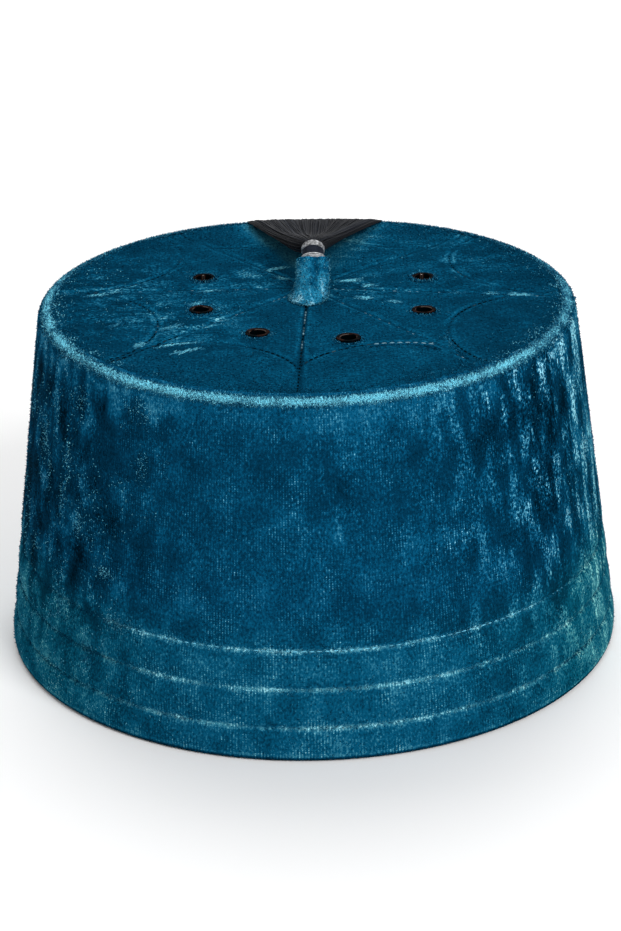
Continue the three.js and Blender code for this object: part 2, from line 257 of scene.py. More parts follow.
class FezVelvet(bpy.types.PropertyGroup):
    """Colours and grain of the velvet."""
    deep: colour("Deep pile", "#00131f", "Pile that is seen end on")
    body: colour("Body", "#033550", "General colour of the pile")
    lit: colour("Lit pile", "#075478", "Pile that leans to the light")
    bright: colour("Bright pile", "#3f8ba6", "Pile that is crushed flat")
    tips: colour("Pile tips", "#9be0f6", "Pile that lies flat and catches the light")
    splayed: colour("Splayed pile", "#88e8fe", "Ends of single splayed tufts")
    stem: colour("Stem pile", "#2a94bc", "Pile of the stem, which is little worn")
    bloom: colour("Bloom", "#8fb0b2", "Dusty bloom of the pile where it is seen at a slant")
    # This tint also colours the painted sheen along the right edge of the side
    fade_and_sheen_tint: colour("Fading", "#ffffe4", "Tint where the dye has faded a little, towards green")
    streak_width: length("Streak width", 0.0042, "Width of a crushed streak")
    streak_length: length("Streak length", 0.014, "Length of a crushed streak")
    fleck_width: length("Fleck width", 0.0055, "Width of a crushed fleck on the tip")
    fleck_length: length("Fleck length", 0.011, "Length of a crushed fleck on the tip")
    worn_patch: length("Worn patch", 0.009, "Size of a patch where the woven rows show")
    tuft: length("Tuft", 0.00065, "Width of a tuft of pile")
    tuft_length: length("Tuft length", 0.0009, "Length of a tuft along the lie of the pile")
    row: length("Row", 0.0007, "Spacing of the woven rows that the pile stands in")
    wale: length("Wale", 0.00092, "Spacing of the woven wales across the rows")
    pile_length: length("Pile length", 0.0014, "Length of splayed pile")
    pile_width: length("Pile width", 0.00016, "Width of a tuft at its root")


class FezStitching(bpy.types.PropertyGroup):
    """Stitched rows and the pattern on the tip."""
    seam_x: length("Seam centre X", 0.0006, "Where the seams of the tip meet, along X")
    seam_y: length("Seam centre Y", 0.0082, "Where the seams of the tip meet, along Y")
    scallop_x: length("Scallop centre X", 0.0007, "Centre of the ring of scallops, along X")
    scallop_y: length("Scallop centre Y", 0.0044, "Centre of the ring of scallops, along Y")
    arc_radius: length("Arc radius", 0.0332, "Radius of the scallop in each sector")
    arc_centre: length("Arc centre", 0.0832, "Distance of a scallop's centre from the ring's")
    stitch: length("Stitch", 0.0016, "Length of a stitch")
    pitch: length("Pitch", 0.0023, "Distance from stitch to stitch")
    thread: length("Thread", 0.0004, "Thickness of the thread of the hem")
    tip_gauge: length("Tip thread thickness", 0.0006, "Thickness of the thread of the tip")
    groove: length("Groove", 0.0004, "Depth of the valley along a stitched line")
    tip_thread: colour("Tip thread", "#02121a", "Thread on the tip")
    frayed: colour("Frayed thread", "#6d98a8", "Thread on the tip where it is rubbed")
    hem_thread: colour("Hem thread", "#62adc6", "Thread of the hem")


class FezEyelet(bpy.types.PropertyGroup):
    """Vent eyelets."""
    flange: length("Flange", 0.0038, "Radius of the flange")
    bore: length("Bore", 0.0023, "Radius of the bore")
    wall: length("Wall", 0.00045, "Thickness of the barrel")
    roll: length("Roll", 0.0006, "Rounding of the flange")
    back: length("Back flange", 0.0036, "Radius of the clinched flange")
    seat: length("Seat", 0.0003, "Clearance between the flange and the tip")
    enamel: colour("Enamel", "#00060a", "Black enamel")
    worn: colour("Worn enamel", "#261611", "Reddish brown where the enamel is thin")
    # The bare metal colour is also the painted glint in the throats of the far eyelets
    bare: colour("Bare metal", "#7d756f", "Brass polished grey where the lip is worn through")


class FezTassel(bpy.types.PropertyGroup):
    """Stem, neck and threads of the tassel."""
    stem_length: length("Stem length", 0.0118, "Length of the stem along its bend")
    stem_lean: angle("Stem lean", 35, "Lean of the stem's end from the vertical")
    stem_x: length("Stem X", (STEM_LOW.x + STEM_HIGH.x) / 2, "Place of the stem along X")
    stem_y: length("Stem Y", -0.0022, "Place of the stem's foot along Y")
    neck_length: length("Neck length", 0.0049, "Length of the neck along its bend")
    neck_bend: angle("Neck bend", 38, "Further bend along the neck")
    neck_radius: length("Neck radius", 0.0022, "Radius of the neck inside its windings")
    cord_radius: length("Cord radius", 0.00055, "Half-thickness of a band of wound cord")
    near_cord: length("Near cord", 0.0004, "Place of the near band along the neck")
    far_cord: length("Far cord", 0.0034, "Place of the far band along the neck")
    locks: IntProperty(name="Locks", description="Locks in the fan", default=9, min=2)
    threads: IntProperty(name="Threads", description="Threads in a lock", default=64, min=4)
    thread: length("Thread", 0.00042, "Thickness of a thread")
    fan: length("Fan", 0.0206, "Half-width of the fan at the rim")
    neck_spread: length("Neck spread", 0.0009, "Half-width of the locks at the neck")
    bulge_spread: length("Bulge spread", 0.0036, "Half-width of the locks just past the neck")
    bulge_length: length("Bulge length", 0.006, "Distance of that bulge from the neck")
    bulge_drop: length("Bulge drop", 0.0007, "Drop of the locks at the bulge")
    sag: length("Sag", 0.0018, "Sag of the locks on their way to the rim")
    clearance: length("Clearance", 0.0003, "Room between the locks and the crown")
    end_height: length("End height", 0.058, "Height of the ends of the locks")
    stagger: length("Stagger", 0.003, "Difference in length between one lock and the next")
    charcoal: colour("Charcoal thread", "#161a22", "Thread of the tassel")
    silver: colour("Silver cord", "#d6d8da", "Metallic cord round the neck")


class FezStage(bpy.types.PropertyGroup):
    """Camera, floor and light."""
    lens: FloatProperty(name="Lens", description="Focal length in millimetres", default=98.07)
    distance: length("Distance", 0.8, "Distance of the camera from its aim")
    elevation: angle("Elevation", 23.09, "Height of the camera above the horizon")
    roll: angle("Roll", 1.28, "Roll of the camera about its view")
    aim: length("Aim height", 0.0519, "Height that the camera looks at")
    floor: colour("Floor", "#fcfcfc", "Pale floor")
    key: FloatProperty(name="Key", description="Power of the key light", default=17, unit="POWER")
    fill: FloatProperty(name="Fill", description="Power of the fill light", default=1.5, unit="POWER")
    top: FloatProperty(name="Top", description="Power of the top light", default=24, unit="POWER")
    sky: FloatProperty(name="Sky", description="Strength of the surrounding light", default=0.38)


# Shared helpers

def settings():
    """The scene's own settings, by group."""
    scene = bpy.context.scene
    return scene.fez_crown, scene.fez_velvet, scene.fez_stitching, scene.fez_eyelet, scene.fez_tassel


def add(tree, kind, *values, **named):
    """Adds a node. The values go to its first sockets, and the names are its settings or its sockets.

    A node that is given as a value is linked by its first output.
    """
    made = tree.nodes.new("ShaderNode" + kind)
    for key, value in [*enumerate(values), *named.items()]:
        if hasattr(made, str(key)):
            setattr(made, key, value)
            continue
        socket = made.inputs[key.replace("_", " ") if isinstance(key, str) else key]
        if isinstance(value, bpy.types.Node):
            value = value.outputs[0]
        if isinstance(value, bpy.types.NodeSocket):
            tree.links.new(value, socket)
        else:
            socket.default_value = value
    return made


def new_material(name):
    """An empty material and its node tree."""
    material = bpy.data.materials.new(name)
    material.use_nodes = True
    material.node_tree.nodes.clear()
    return material, material.node_tree


def opaque(colour_value):
    """A colour with full alpha, for a node's colour socket."""
    return (*colour_value, 1.0)


def times(gain, colour_value):
    """A colour made lighter or darker."""
    return tuple(gain * channel for channel in colour_value)


def per(*sizes):
    """Scale of a pattern along each axis, from its real sizes."""
    return tuple(1 / size for size in sizes)


def set_stops(ramp, *stops):
    """Gives a colour ramp its stops, as (place, colour) pairs."""
    elements = ramp.color_ramp.elements
    while len(elements) < len(stops):
        elements.new(1.0)
    for element, (place, value) in zip(elements, stops):
        element.position = place
        element.color = opaque(value)


def shade_smooth(mesh):
    """Shades every face of a mesh smooth."""
    mesh.polygons.foreach_set("use_smooth", [True] * len(mesh.polygons))
    return mesh


def finish_mesh(bm, name):
    """Turns a bmesh into a smooth-shaded mesh."""
    mesh = bpy.data.meshes.new(name)
    bm.to_mesh(mesh)
    bm.free()
    return shade_smooth(mesh)


def array_mesh(name, vertices, faces):
    """A smooth-shaded mesh from arrays of points and faces."""
    mesh = bpy.data.meshes.new(name)
    mesh.from_pydata(vertices.reshape(-1, 3), [], faces)
    return shade_smooth(mesh)


def join(bm, mesh):
    """Moves a mesh into a bmesh."""
    bm.from_mesh(mesh)
    bpy.data.meshes.remove(mesh)


def place_piece(mesh, materials, slot, *nodes):
    """Makes a mesh a piece of the hat, which stands for the named solids."""
    piece = bpy.data.objects.new(mesh.name, mesh)
    bpy.context.scene.collection.objects.link(piece)
    for material in materials:
        mesh.materials.append(material)
    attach(piece, "root")
    if nodes:
        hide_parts(*nodes)
    return piece


def points_of(mesh):
    """The points of a mesh as an array."""
    flat = np.empty(len(mesh.vertices) * 3, np.float32)
    mesh.vertices.foreach_get("co", flat)
    return flat.reshape(-1, 3).astype(float)


def set_points(mesh, points):
    """Moves the points of a mesh."""
    mesh.vertices.foreach_set("co", points.astype(np.float32).ravel())
    mesh.update()


def set_attributes(mesh, **attributes):
    """Stores numbers for each point of a mesh, by name."""
    for name, values in attributes.items():
        attribute = mesh.attributes.new(name, "FLOAT", "POINT")
        attribute.data.foreach_set("value", np.asarray(values, np.float32))


def smoothstep(low, high, value):
    """A smooth rise from 0 at low to 1 at high."""
    share = np.clip((value - low) / (high - low), 0, 1)
    return share * share * (3 - 2 * share)


def bell(value, width):
    """A bell curve of height 1 and the given half-width."""
    return np.exp(-(value / width) ** 2)


def unit(vectors):
    """Vectors of length 1."""
    return vectors / np.linalg.norm(vectors, axis=-1, keepdims=True)


def soft_noise(points, size, seed):
    """Smooth noise from -1 to 1 at each point, with features of the given size."""
    shift = Vector((seed * 7.3, seed * 3.1, seed * 5.7))
    return np.array([noise.noise(Vector(point) / size + shift) for point in points])


def level_points(flat):
    """Points at height 0 for (x, y) places."""
    return np.column_stack([flat, np.zeros(len(flat))])


def around(turns):
    """Directions (x, y, 0) for turns in radians from +X."""
    return np.column_stack([np.cos(turns), np.sin(turns), np.zeros(len(turns))])


def towards(bearing):
    """Direction (x, y) for a bearing in degrees from +X, and the one to its left."""
    ahead = np.array([math.cos(math.radians(bearing)), math.sin(math.radians(bearing))])
    return ahead, np.array([-ahead[1], ahead[0]])


def from_front(points):
    """Angle in degrees of each point from the front of the hat."""
    return np.degrees(np.abs(np.arctan2(points[:, 0], -points[:, 1])))


# Shape of the crown

def wall_radius(crown, height):
    """Radius of the straight side at a height."""
    return crown.base_radius + (crown.top_radius - crown.base_radius) * height / crown.height


def row_heights(crown):
    """Heights of the stitched rows."""
    return [crown.first_row + row * crown.row_pitch for row in range(crown.row_count)]


def side_face(crown, height):
    """Radius of the side's face at a height: the hem swells between one row and the next."""
    inset = 0.0
    foot = 0.0
    for row in row_heights(crown):
        inset += crown.groove * float(bell(height - row, crown.groove_width))
        if foot <= height <= row:
            inset += crown.swell * (1 - math.sin(math.pi * (height - foot) / (row - foot)))
        foot = row
    if height > foot:
        inset += crown.swell * max(0.0, 1 - 3 * (height - foot) / crown.row_pitch)
    return wall_radius(crown, height) - inset


def on_side(crown, bearing, height):
    """Outward directions and points on the side's face, for bearings in radians and heights."""
    outward = around(bearing)
    points = outward * np.array([side_face(crown, z) for z in height])[:, None]
    points[:, 2] = height
    return outward, points


def shoulder_ring(crown):
    """Radius and height of the middle of the shoulder's rounding."""
    height = crown.height - crown.shoulder
    return wall_radius(crown, height) - crown.shoulder, height


def pressed(crown, points):
    """Points of the crown, lowered at the rim: pressed by the tassel behind, drooping in front."""
    x, y, z = points.T
    outward = smoothstep(0.050, crown.top_radius, np.hypot(x, y))
    upward = smoothstep(0.084, crown.height, z)
    behind = np.where(y > 0, crown.press_depth * bell(x - crown.fan_x, crown.press_width), 0.0)
    in_front = crown.droop * bell(np.arctan2(x, -y), crown.droop_width)
    return np.column_stack([x, y, z - (behind + in_front) * outward * upward])


def arc_points(centre, radius, start, end, steps):
    """Points of an arc in the plane of radius and height."""
    turns = np.linspace(start, end, steps + 1)
    return [(centre[0] + radius * math.cos(t), centre[1] + radius * math.sin(t)) for t in turns]


def side_profile(crown):
    """Section of the side as (radius, height): up the outside, over the shoulder, down the inside."""
    foot = wall_radius(crown, 0)
    centre = shoulder_ring(crown)
    edge_centre = (foot - crown.hem_edge - crown.swell, crown.hem_edge)
    fine = np.arange(crown.hem_edge * 1.4, row_heights(crown)[-1] + crown.row_pitch / 3, 0.0005)
    coarse = np.arange(fine[-1] + 0.0015, centre[1] - 0.001, 0.0016)
    inside = np.linspace(centre[1], 0, 12)[1:-1]
    return [
        (foot - crown.thickness + 0.0003, 0.0),
        *arc_points(edge_centre, crown.hem_edge, -math.pi / 2, -math.pi / 10, 5),
        *[(side_face(crown, z), z) for z in [*fine, *coarse]],
        *arc_points(centre, crown.shoulder, 0, math.pi / 2, 14),
        *arc_points(centre, crown.shoulder - crown.thickness, math.pi / 2, 0, 4),
        *[(wall_radius(crown, z) - crown.thickness, z) for z in inside],
    ]


def spun(profile, steps, closed):
    """A bmesh spun about +Z from a section of (radius, height) points.

    An eighth of the turn is spun and then doubled three times, which is far quicker than one spin.
    """
    bm = bmesh.new()
    verts = [bm.verts.new((radius, 0, height)) for radius, height in profile]
    pairs = zip(verts, [*verts[1:], verts[0]] if closed else verts[1:])
    edges = [bm.edges.new(pair) for pair in pairs]
    turn = math.pi / 4
    bmesh.ops.spin(bm, geom=verts + edges, cent=(0, 0, 0), axis=(0, 0, 1), dvec=(0, 0, 0),
                   angle=turn, steps=steps // 8)
    for _ in range(3):
        copy = bmesh.ops.duplicate(bm, geom=[*bm.verts, *bm.edges, *bm.faces])
        moved = [item for item in copy["geom"] if isinstance(item, bmesh.types.BMVert)]
        bmesh.ops.rotate(bm, verts=moved, cent=(0, 0, 0), matrix=Matrix.Rotation(turn, 3, "Z"))
        turn *= 2
    bmesh.ops.remove_doubles(bm, verts=bm.verts, dist=1e-6)
    bmesh.ops.recalc_face_normals(bm, faces=bm.faces)
    return bm


# Materials

def velvet_material(name, velvet, bright, streak_scale, tuft_scale, wales=0):
    """Crushed velvet: dyed cut pile that is dark end on and pale where it is splayed or laid flat.

    It shows as soft clouds of paler and darker pile, streaks where it was crushed, a fine grain of tufts
    and a faint dotted grid of woven rows. One point attribute says how pale the pile is, with painted
    highlights, painted shade and painted sheen added into it; crush says how far it was crushed, and
    faded how far its dye has gone green, and along the right edge of the side a painted sheen. The rows are
    drawn a little wider apart than in the cloth, so that they show.
    """
    material, tree = new_material(name)
    place = add(tree, "TexCoord").outputs["Object"]
    nap, crush, faded = (add(tree, "Attribute", attribute_name=key).outputs["Fac"]
                         for key in ("nap", "crush", "faded"))
    along = add(tree, "Mapping", Vector=place, Scale=streak_scale)
    streak = add(tree, "TexNoise", along, Scale=1.0, Detail=3.0, Roughness=0.6)
    mass = add(tree, "MapRange", streak, 0.38, 0.69, -0.15, 0.39, interpolation_type="SMOOTHSTEP")
    lying = add(tree, "Mapping", Vector=place, Scale=tuft_scale)
    tuft = add(tree, "TexNoise", lying, Scale=1.0, Detail=2.0, Roughness=0.65)
    speckle = add(tree, "MapRange", tuft, 0.38, 0.68, 0.4, 1.6, interpolation_type="SMOOTHSTEP")
    broken = add(tree, "Math", mass, speckle, operation="MULTIPLY")
    laid = add(tree, "Math", broken, crush, nap, operation="MULTIPLY_ADD")
    gain = add(tree, "MapRange", crush, 0.0, 1.0, 0.6, 1.3)
    centred = add(tree, "Math", tuft, 0.5, operation="SUBTRACT")
    grain = add(tree, "Math", centred, gain, laid, operation="MULTIPLY_ADD")
    axes = add(tree, "SeparateXYZ", place).outputs
    sparse = add(tree, "TexNoise", place, Scale=1 / velvet.worn_patch, Detail=5.0, Roughness=0.7)
    if wales:
        turn = add(tree, "Math", axes["Y"], axes["X"], operation="ARCTAN2")
        across, up, shown = (turn, float(wales)), (axes["Z"], 2 * math.pi / velvet.row), 0.36
    else:
        across, up, shown = *((axes[key], 2 * math.pi / velvet.wale) for key in "XY"), 0.12
    dots = add(tree, "MapRange", sparse, 0.36, 0.72, 0.0, shown, interpolation_type="SMOOTHSTEP")
    for (source, rate), least in ((across, 0.0), (up, 0.35)):
        phase = add(tree, "Math", source, rate, operation="MULTIPLY")
        wave = add(tree, "Math", phase, operation="SINE")
        raised = add(tree, "MapRange", wave, 0.0, 1.0, least, 1.0)
        dots = add(tree, "Math", dots, raised, operation="MULTIPLY")
    woven = add(tree, "Math", dots, speckle, grain, operation="MULTIPLY_ADD")
    ramp = add(tree, "ValToRGB", woven)
    set_stops(ramp, (0.0, velvet.deep), (0.35, velvet.body), (0.55, velvet.lit), (0.8, bright),
              (1.0, velvet.tips))
    dyed = add(tree, "MixRGB", faded, ramp, opaque(velvet.fade_and_sheen_tint), blend_type="MULTIPLY")
    bump = add(tree, "Bump", Height=woven, Strength=0.35, Distance=0.0004)
    shader = add(tree, "BsdfPrincipled", Base_Color=dyed, Normal=bump, Roughness=0.9,
                 Specular_IOR_Level=0.0, Sheen_Weight=0.02, Sheen_Roughness=0.28,
                 Sheen_Tint=opaque(velvet.bloom))
    add(tree, "OutputMaterial", shader)
    return material


def backing_material(crown):
    """Woven back of the velvet: plain dull cloth with threads 0.8 mm apart, seen only inside the hat."""
    material, tree = new_material("woven velvet backing")
    place = add(tree, "TexCoord").outputs["Object"]
    weave = add(tree, "TexNoise", place, Scale=1 / 0.0008)
    ramp = add(tree, "ValToRGB", weave)
    set_stops(ramp, (0.3, crown.backing), (0.7, times(1.6, crown.backing)))
    bump = add(tree, "Bump", Height=weave, Strength=0.4, Distance=0.0003)
    shader = add(tree, "BsdfPrincipled", Base_Color=ramp, Normal=bump, Roughness=0.9,
                 Specular_IOR_Level=0.2)
    add(tree, "OutputMaterial", shader)
    return material


def pile_material(velvet):
    """Splayed ends of the pile: dyed fibre, paler towards its ends and from tuft to tuft."""
    material, tree = new_material("velvet pile fibre")
    ramp = add(tree, "ValToRGB", add(tree, "Attribute", attribute_name="shade").outputs["Fac"])
    set_stops(ramp, (0.0, velvet.deep), (0.25, velvet.body), (0.45, velvet.lit), (0.7, velvet.bright),
              (1.0, velvet.splayed))
    shader = add(tree, "BsdfPrincipled", Base_Color=ramp, Roughness=0.9, Specular_IOR_Level=0.0)
    add(tree, "OutputMaterial", shader)
    return material


def thread_material(name, base, pale, gloss):
    """Spun thread: yarn with a shade of its own for each length of it, matt unless given a gloss.

    Its twist shows as a grain of 0.4 mm.
    """
    material, tree = new_material(name)
    ramp = add(tree, "ValToRGB", add(tree, "Attribute", attribute_name="shade").outputs["Fac"])
    set_stops(ramp, (0.0, times(0.4, base)), (0.55, base), (1.0, pale))
    twist = add(tree, "TexNoise", add(tree, "TexCoord").outputs["Object"], Scale=1 / 0.0004)
    bump = add(tree, "Bump", Height=twist, Strength=0.25, Distance=0.0001)
    shader = add(tree, "BsdfPrincipled", Base_Color=ramp, Normal=bump, Roughness=0.55,
                 Specular_IOR_Level=gloss)
    add(tree, "OutputMaterial", shader)
    return material


def silver_material(tassel):
    """Metallic cord: a lurex thread twisted tight. Its glints along the twist are painted into its colour.
    """
    material, tree = new_material("silver metallic cord")
    ramp = add(tree, "ValToRGB", add(tree, "Attribute", attribute_name="shade").outputs["Fac"])
    set_stops(ramp, (0.0, times(0.12, tassel.silver)), (1.0, tassel.silver))
    shader = add(tree, "BsdfPrincipled", Base_Color=ramp, Metallic=0.35, Roughness=0.4)
    add(tree, "OutputMaterial", shader)
    return material


def enamel_material(eyelet):
    """Black stove enamel on pressed brass: brown where it is worn thin, bare metal on the lip, and a
    painted glint in the far throats.
    """
    material, tree = new_material("black enamelled brass")
    worn = add(tree, "Attribute", attribute_name="worn").outputs["Fac"]
    ramp = add(tree, "ValToRGB", worn)
    set_stops(ramp, (0.15, eyelet.enamel), (0.5, eyelet.worn), (0.7, eyelet.worn), (1.0, eyelet.bare))
    metal = add(tree, "MapRange", worn, 0.75, 0.95)
    shader = add(tree, "BsdfPrincipled", Base_Color=ramp, Metallic=metal, Roughness=0.2,
                 Specular_IOR_Level=0.003)
    add(tree, "OutputMaterial", shader)
    return material


# Pile, stitches and threads, as joined small shapes

def fibre_mesh(name, roots, ends, widths, shades):
    """Tapered fibres from roots to ends: each is a closed three-sided spike."""
    along = unit(ends - roots)
    helper = np.where(np.abs(along[:, 2:3]) < 0.9, [[0, 0, 1.0]], [[1.0, 0, 0]])
    first = unit(np.cross(along, helper))
    second = np.cross(along, first)
    corners = []
    for turn in (0, 2 * math.pi / 3, 4 * math.pi / 3):
        offset = first * math.cos(turn) + second * math.sin(turn)
        corners.append(roots + offset * widths[:, None] / 2)
    vertices = np.stack([*corners, ends], axis=1)
    spike = np.array([(0, 1, 3), (1, 2, 3), (2, 0, 3), (0, 2, 1)])
    starts = np.arange(len(roots))[:, None, None] * 4
    mesh = array_mesh(name, vertices, (spike[None] + starts).reshape(-1, 3))
    paler_end = np.array([0.75, 0.75, 0.75, 1.0])
    set_attributes(mesh, shade=np.outer(shades, paler_end).ravel())
    return mesh


def stitch_mesh(name, centres, directions, normals, size, shades):
    """Stitches: a spindle of thread at each place, along its direction. size is length, thickness."""
    bm = bmesh.new()
    bmesh.ops.create_uvsphere(bm, u_segments=6, v_segments=5, radius=0.5)
    spindle = np.array([vert.co for vert in bm.verts])
    faces = [[vert.index for vert in face.verts] for face in bm.faces]
    bm.free()
    sideways = np.cross(normals, directions)
    vertices = (centres[:, None]
                + directions[:, None] * spindle[None, :, 2:3] * size[0]
                + sideways[:, None] * spindle[None, :, 0:1] * size[1]
                + normals[:, None] * spindle[None, :, 1:2] * size[1])
    count = len(spindle)
    joined = [[index + copy * count for index in face]
              for copy in range(len(centres)) for face in faces]
    mesh = array_mesh(name, vertices, joined)
    set_attributes(mesh, shade=np.repeat(shades, count))
    return mesh


def tube_mesh(name, paths, widths, sides, shades):
    """Closed tubes along many paths at once: paths is an array of tubes by points by three."""
    count, steps, _ = paths.shape
    along = unit(np.gradient(paths, axis=1))
    helper = np.where(np.abs(along[..., 0:1]) < 0.8, [1.0, 0, 0], [0, 1.0, 0])
    first = unit(np.cross(along, helper))[:, :, None]
    second = np.cross(along, first[:, :, 0])[:, :, None]
    turns = (np.arange(sides) * 2 * math.pi / sides)[:, None]
    ring = first * np.cos(turns) + second * np.sin(turns)
    vertices = paths[:, :, None] + ring * widths[:, :, None, None] / 2
    index = np.arange(count * steps * sides).reshape(count, steps, sides)
    after = np.roll(index, -1, axis=2)
    walls = np.stack([index[:, :-1], after[:, :-1], after[:, 1:], index[:, 1:]], axis=-1)
    faces = walls.reshape(-1, 4).tolist()
    faces += index[:, 0, ::-1].tolist() + index[:, -1].tolist()
    mesh = array_mesh(name, vertices, faces)
    set_attributes(mesh, shade=np.repeat(shades, steps * sides))
    return mesh


def curve_through(points, steps):
    """Smooth curves through points: an array of curves by points by three, steps to each span.

    The curves are centripetal, so that a long span beside a short one doesn't swing wide.
    """
    padded = np.concatenate([2 * points[:, :1] - points[:, 1:2], points,
                             2 * points[:, -1:] - points[:, -2:-1]], axis=1)
    chords = np.sqrt(np.linalg.norm(np.diff(padded, axis=1), axis=-1, keepdims=True))
    spans = points.shape[1] - 1
    first, second, third = (chords[:, place:place + spans, None] for place in range(3))
    before, start, end, after = (padded[:, place:place + spans, None] for place in range(4))
    share = (np.arange(steps) / steps)[None, None, :, None] * second
    lead = before + (start - before) * (first + share) / first
    run = start + (end - start) * share / second
    trail = end + (after - end) * (share - second) / third
    entry = lead + (run - lead) * (first + share) / (first + second)
    leaving = run + (trail - run) * share / (second + third)
    flat = (entry + (leaving - entry) * share / second).reshape(points.shape[0], -1, 3)
    return np.concatenate([flat, points[:, -1:]], axis=1)


# Spine of the tassel

def along_bend(start, distance):
    """A place on a bend in the plane of the stem. start is (y, z, lean, turn for each metre)."""
    y, z, lean, turn = start
    ahead = lean + turn * distance
    return (y + (math.cos(lean) - math.cos(ahead)) / turn,
            z + (math.sin(ahead) - math.sin(lean)) / turn, ahead)


def stem_bend(tassel):
    """Start of the stem's bend."""
    return (tassel.stem_y, STEM_LOW.z, 0.0, tassel.stem_lean / tassel.stem_length)


def neck_bend(tassel):
    """Start of the neck's bend, at the stem's end."""
    y, z, lean = along_bend(stem_bend(tassel), tassel.stem_length)
    return (y, z, lean, tassel.neck_bend / tassel.neck_length)


def across_bend(tassel, start, distance):
    """Frame across a bend at a distance: its X goes along +X, its Y forwards, its Z along the bend."""
    y, z, lean = along_bend(start, distance)
    return Matrix((
        (1, 0, 0, tassel.stem_x),
        (0, math.cos(lean), math.sin(lean), y),
        (0, -math.sin(lean), math.cos(lean), z),
        (0, 0, 0, 1),
    ))


def stem_point(turn, share):
    """A point of the stem's section: an oval with the fold of the cloth down its front."""
    shares, widths, depths = STEM_SECTIONS.T
    half_width = np.interp(share, shares, widths) / 2
    half_depth = np.interp(share, shares, depths) / 2
    fold = 0.0009 * float(bell(turn + math.pi / 2 - 0.15, 0.28)) * min(1.0, 4 * share)
    aside = 0.0018 * (1 - share) ** 3
    return Vector((math.cos(turn) * half_width - aside, math.sin(turn) * (half_depth - fold), 0))


def stem_shading(tassel, points):
    """Where the fold runs down the stem, and where its right side begins: the cloth and pile are painted in
    shade along both.
    """
    aside = points[:, 0] - tassel.stem_x
    return bell(aside - 0.0006, 0.0014), smoothstep(0.002, 0.0055, aside)


# Lines of stitching on the tip

def in_sector(bearings, sector):
    """Which bearings lie between a seam of the tip and the next one."""
    start = SEAM_BEARINGS[sector]
    end = SEAM_BEARINGS[(sector + 1) % len(SEAM_BEARINGS)]
    return (start - bearings) % 360 < (start - end) % 360


def seam_centre(stitching):
    """Where the seams of the tip meet."""
    return np.array([stitching.seam_x, stitching.seam_y])


def scallop_centre(stitching, sector):
    """Centre of the circle that the scallop in a sector is part of."""
    middle = np.array([stitching.scallop_x, stitching.scallop_y])
    return middle + stitching.arc_centre * towards(SCALLOP_BEARINGS[sector])[0]


def tip_lines(crown, stitching):
    """Stitched lines of the tip as arrays of (x, y): a seam and a scallop for each sector."""
    centre = seam_centre(stitching)
    lines = []
    reach = crown.tip_edge - 0.0016
    for sector, bearing in enumerate(SEAM_BEARINGS):
        ahead, _ = towards(bearing)
        onward = float(centre @ ahead)
        edge = -onward + math.sqrt(onward ** 2 - float(centre @ centre) + reach ** 2)
        lines.append(centre + ahead * np.linspace(0.005, edge, 60)[:, None])
        swing = np.radians(np.linspace(-75, 75, 121) + SCALLOP_BEARINGS[sector] + 180)
        arc = scallop_centre(stitching, sector) + stitching.arc_radius * around(swing)[:, :2]
        bearings = np.degrees(np.arctan2(*(arc - centre).T[::-1]))
        lines.append(arc[in_sector(bearings, sector) & (np.hypot(*arc.T) < reach)])
    return lines


def evenly(line, pitch):
    """Places and directions along a line, a pitch apart."""
    travelled = np.concatenate([[0], np.cumsum(np.hypot(*np.diff(line, axis=0).T))])
    wanted = np.arange(pitch / 2, travelled[-1], pitch)
    places, beyond, behind = (
        np.stack([np.interp(wanted + shift, travelled, line[:, axis]) for axis in (0, 1)], axis=1)
        for shift in (0, pitch / 20, -pitch / 20))
    return places, unit(beyond - behind)


def stitch_gap(stitching, points):
    """Distance in the plane from each (x, y) point to the nearest stitched line of the tip."""
    offset = points - seam_centre(stitching)
    bearings = np.degrees(np.arctan2(offset[:, 1], offset[:, 0]))
    gap = np.full(len(points), 1.0)
    for sector, bearing in enumerate(SEAM_BEARINGS):
        ahead, left = towards(bearing)
        gap = np.where(offset @ ahead > 0, np.minimum(gap, np.abs(offset @ left)), gap)
        to_middle = np.hypot(*(points - scallop_centre(stitching, sector)).T)
        to_arc = np.abs(to_middle - stitching.arc_radius)
        gap = np.where(in_sector(bearings, sector), np.minimum(gap, to_arc), gap)
    return gap


def tip_height(crown, stitching, points):
    """Height of the stitched tip at (x, y) points: valleys on the lines, soft pillows between."""
    radius = np.hypot(*points.T)
    inward = crown.tip_edge - radius
    gap = stitch_gap(stitching, points)
    level = crown.height - crown.tip_drop + crown.tip_crown * (1 - (radius / crown.tip_edge) ** 2)
    level += 0.0003 * smoothstep(0.001, 0.012, gap) - stitching.groove * bell(gap, 0.0009)
    level += crown.tip_drop * smoothstep(0.006, 0.001, inward) - 0.0004 * smoothstep(0.0012, 0, inward)
    return level


# Wear of the pile, and the painted highlight along the rim

def side_crush(points):
    """How far the pile of the side was crushed at each point, from the zones."""
    bearings = np.degrees(np.arctan2(points[:, 1], points[:, 0]))
    total = np.full(len(points), 0.06)
    for bearing, reach, height, rise, strength in SIDE_CRUSH:
        turn = (bearings - bearing + 180) % 360 - 180
        total += strength * bell(turn, reach) * bell(points[:, 2] - height, rise)
    return np.clip(total, 0, 1)


def tip_crush(points):
    """How far the pile of the tip was crushed at each point, from the zones."""
    total = np.full(len(points), 0.05)
    for x, y, reach, strength in TIP_CRUSH:
        total += strength * bell(np.hypot(points[:, 0] - x, points[:, 1] - y), reach)
    return np.clip(total, 0, 1)


def side_clumps(points):
    """Uneven tufting of the crushed side: above zero where tufts lie splayed together."""
    return soft_noise(points * [1, 1, 0.6], 0.0045, 25)


def row_shown(points):
    """How far the stitched rows show: they are lost under crushed pile towards the sides."""
    x = points[:, 0]
    return (1 - 0.75 * smoothstep(-0.046, -0.080, x)) * (1 - 0.7 * smoothstep(0.072, 0.086, x))


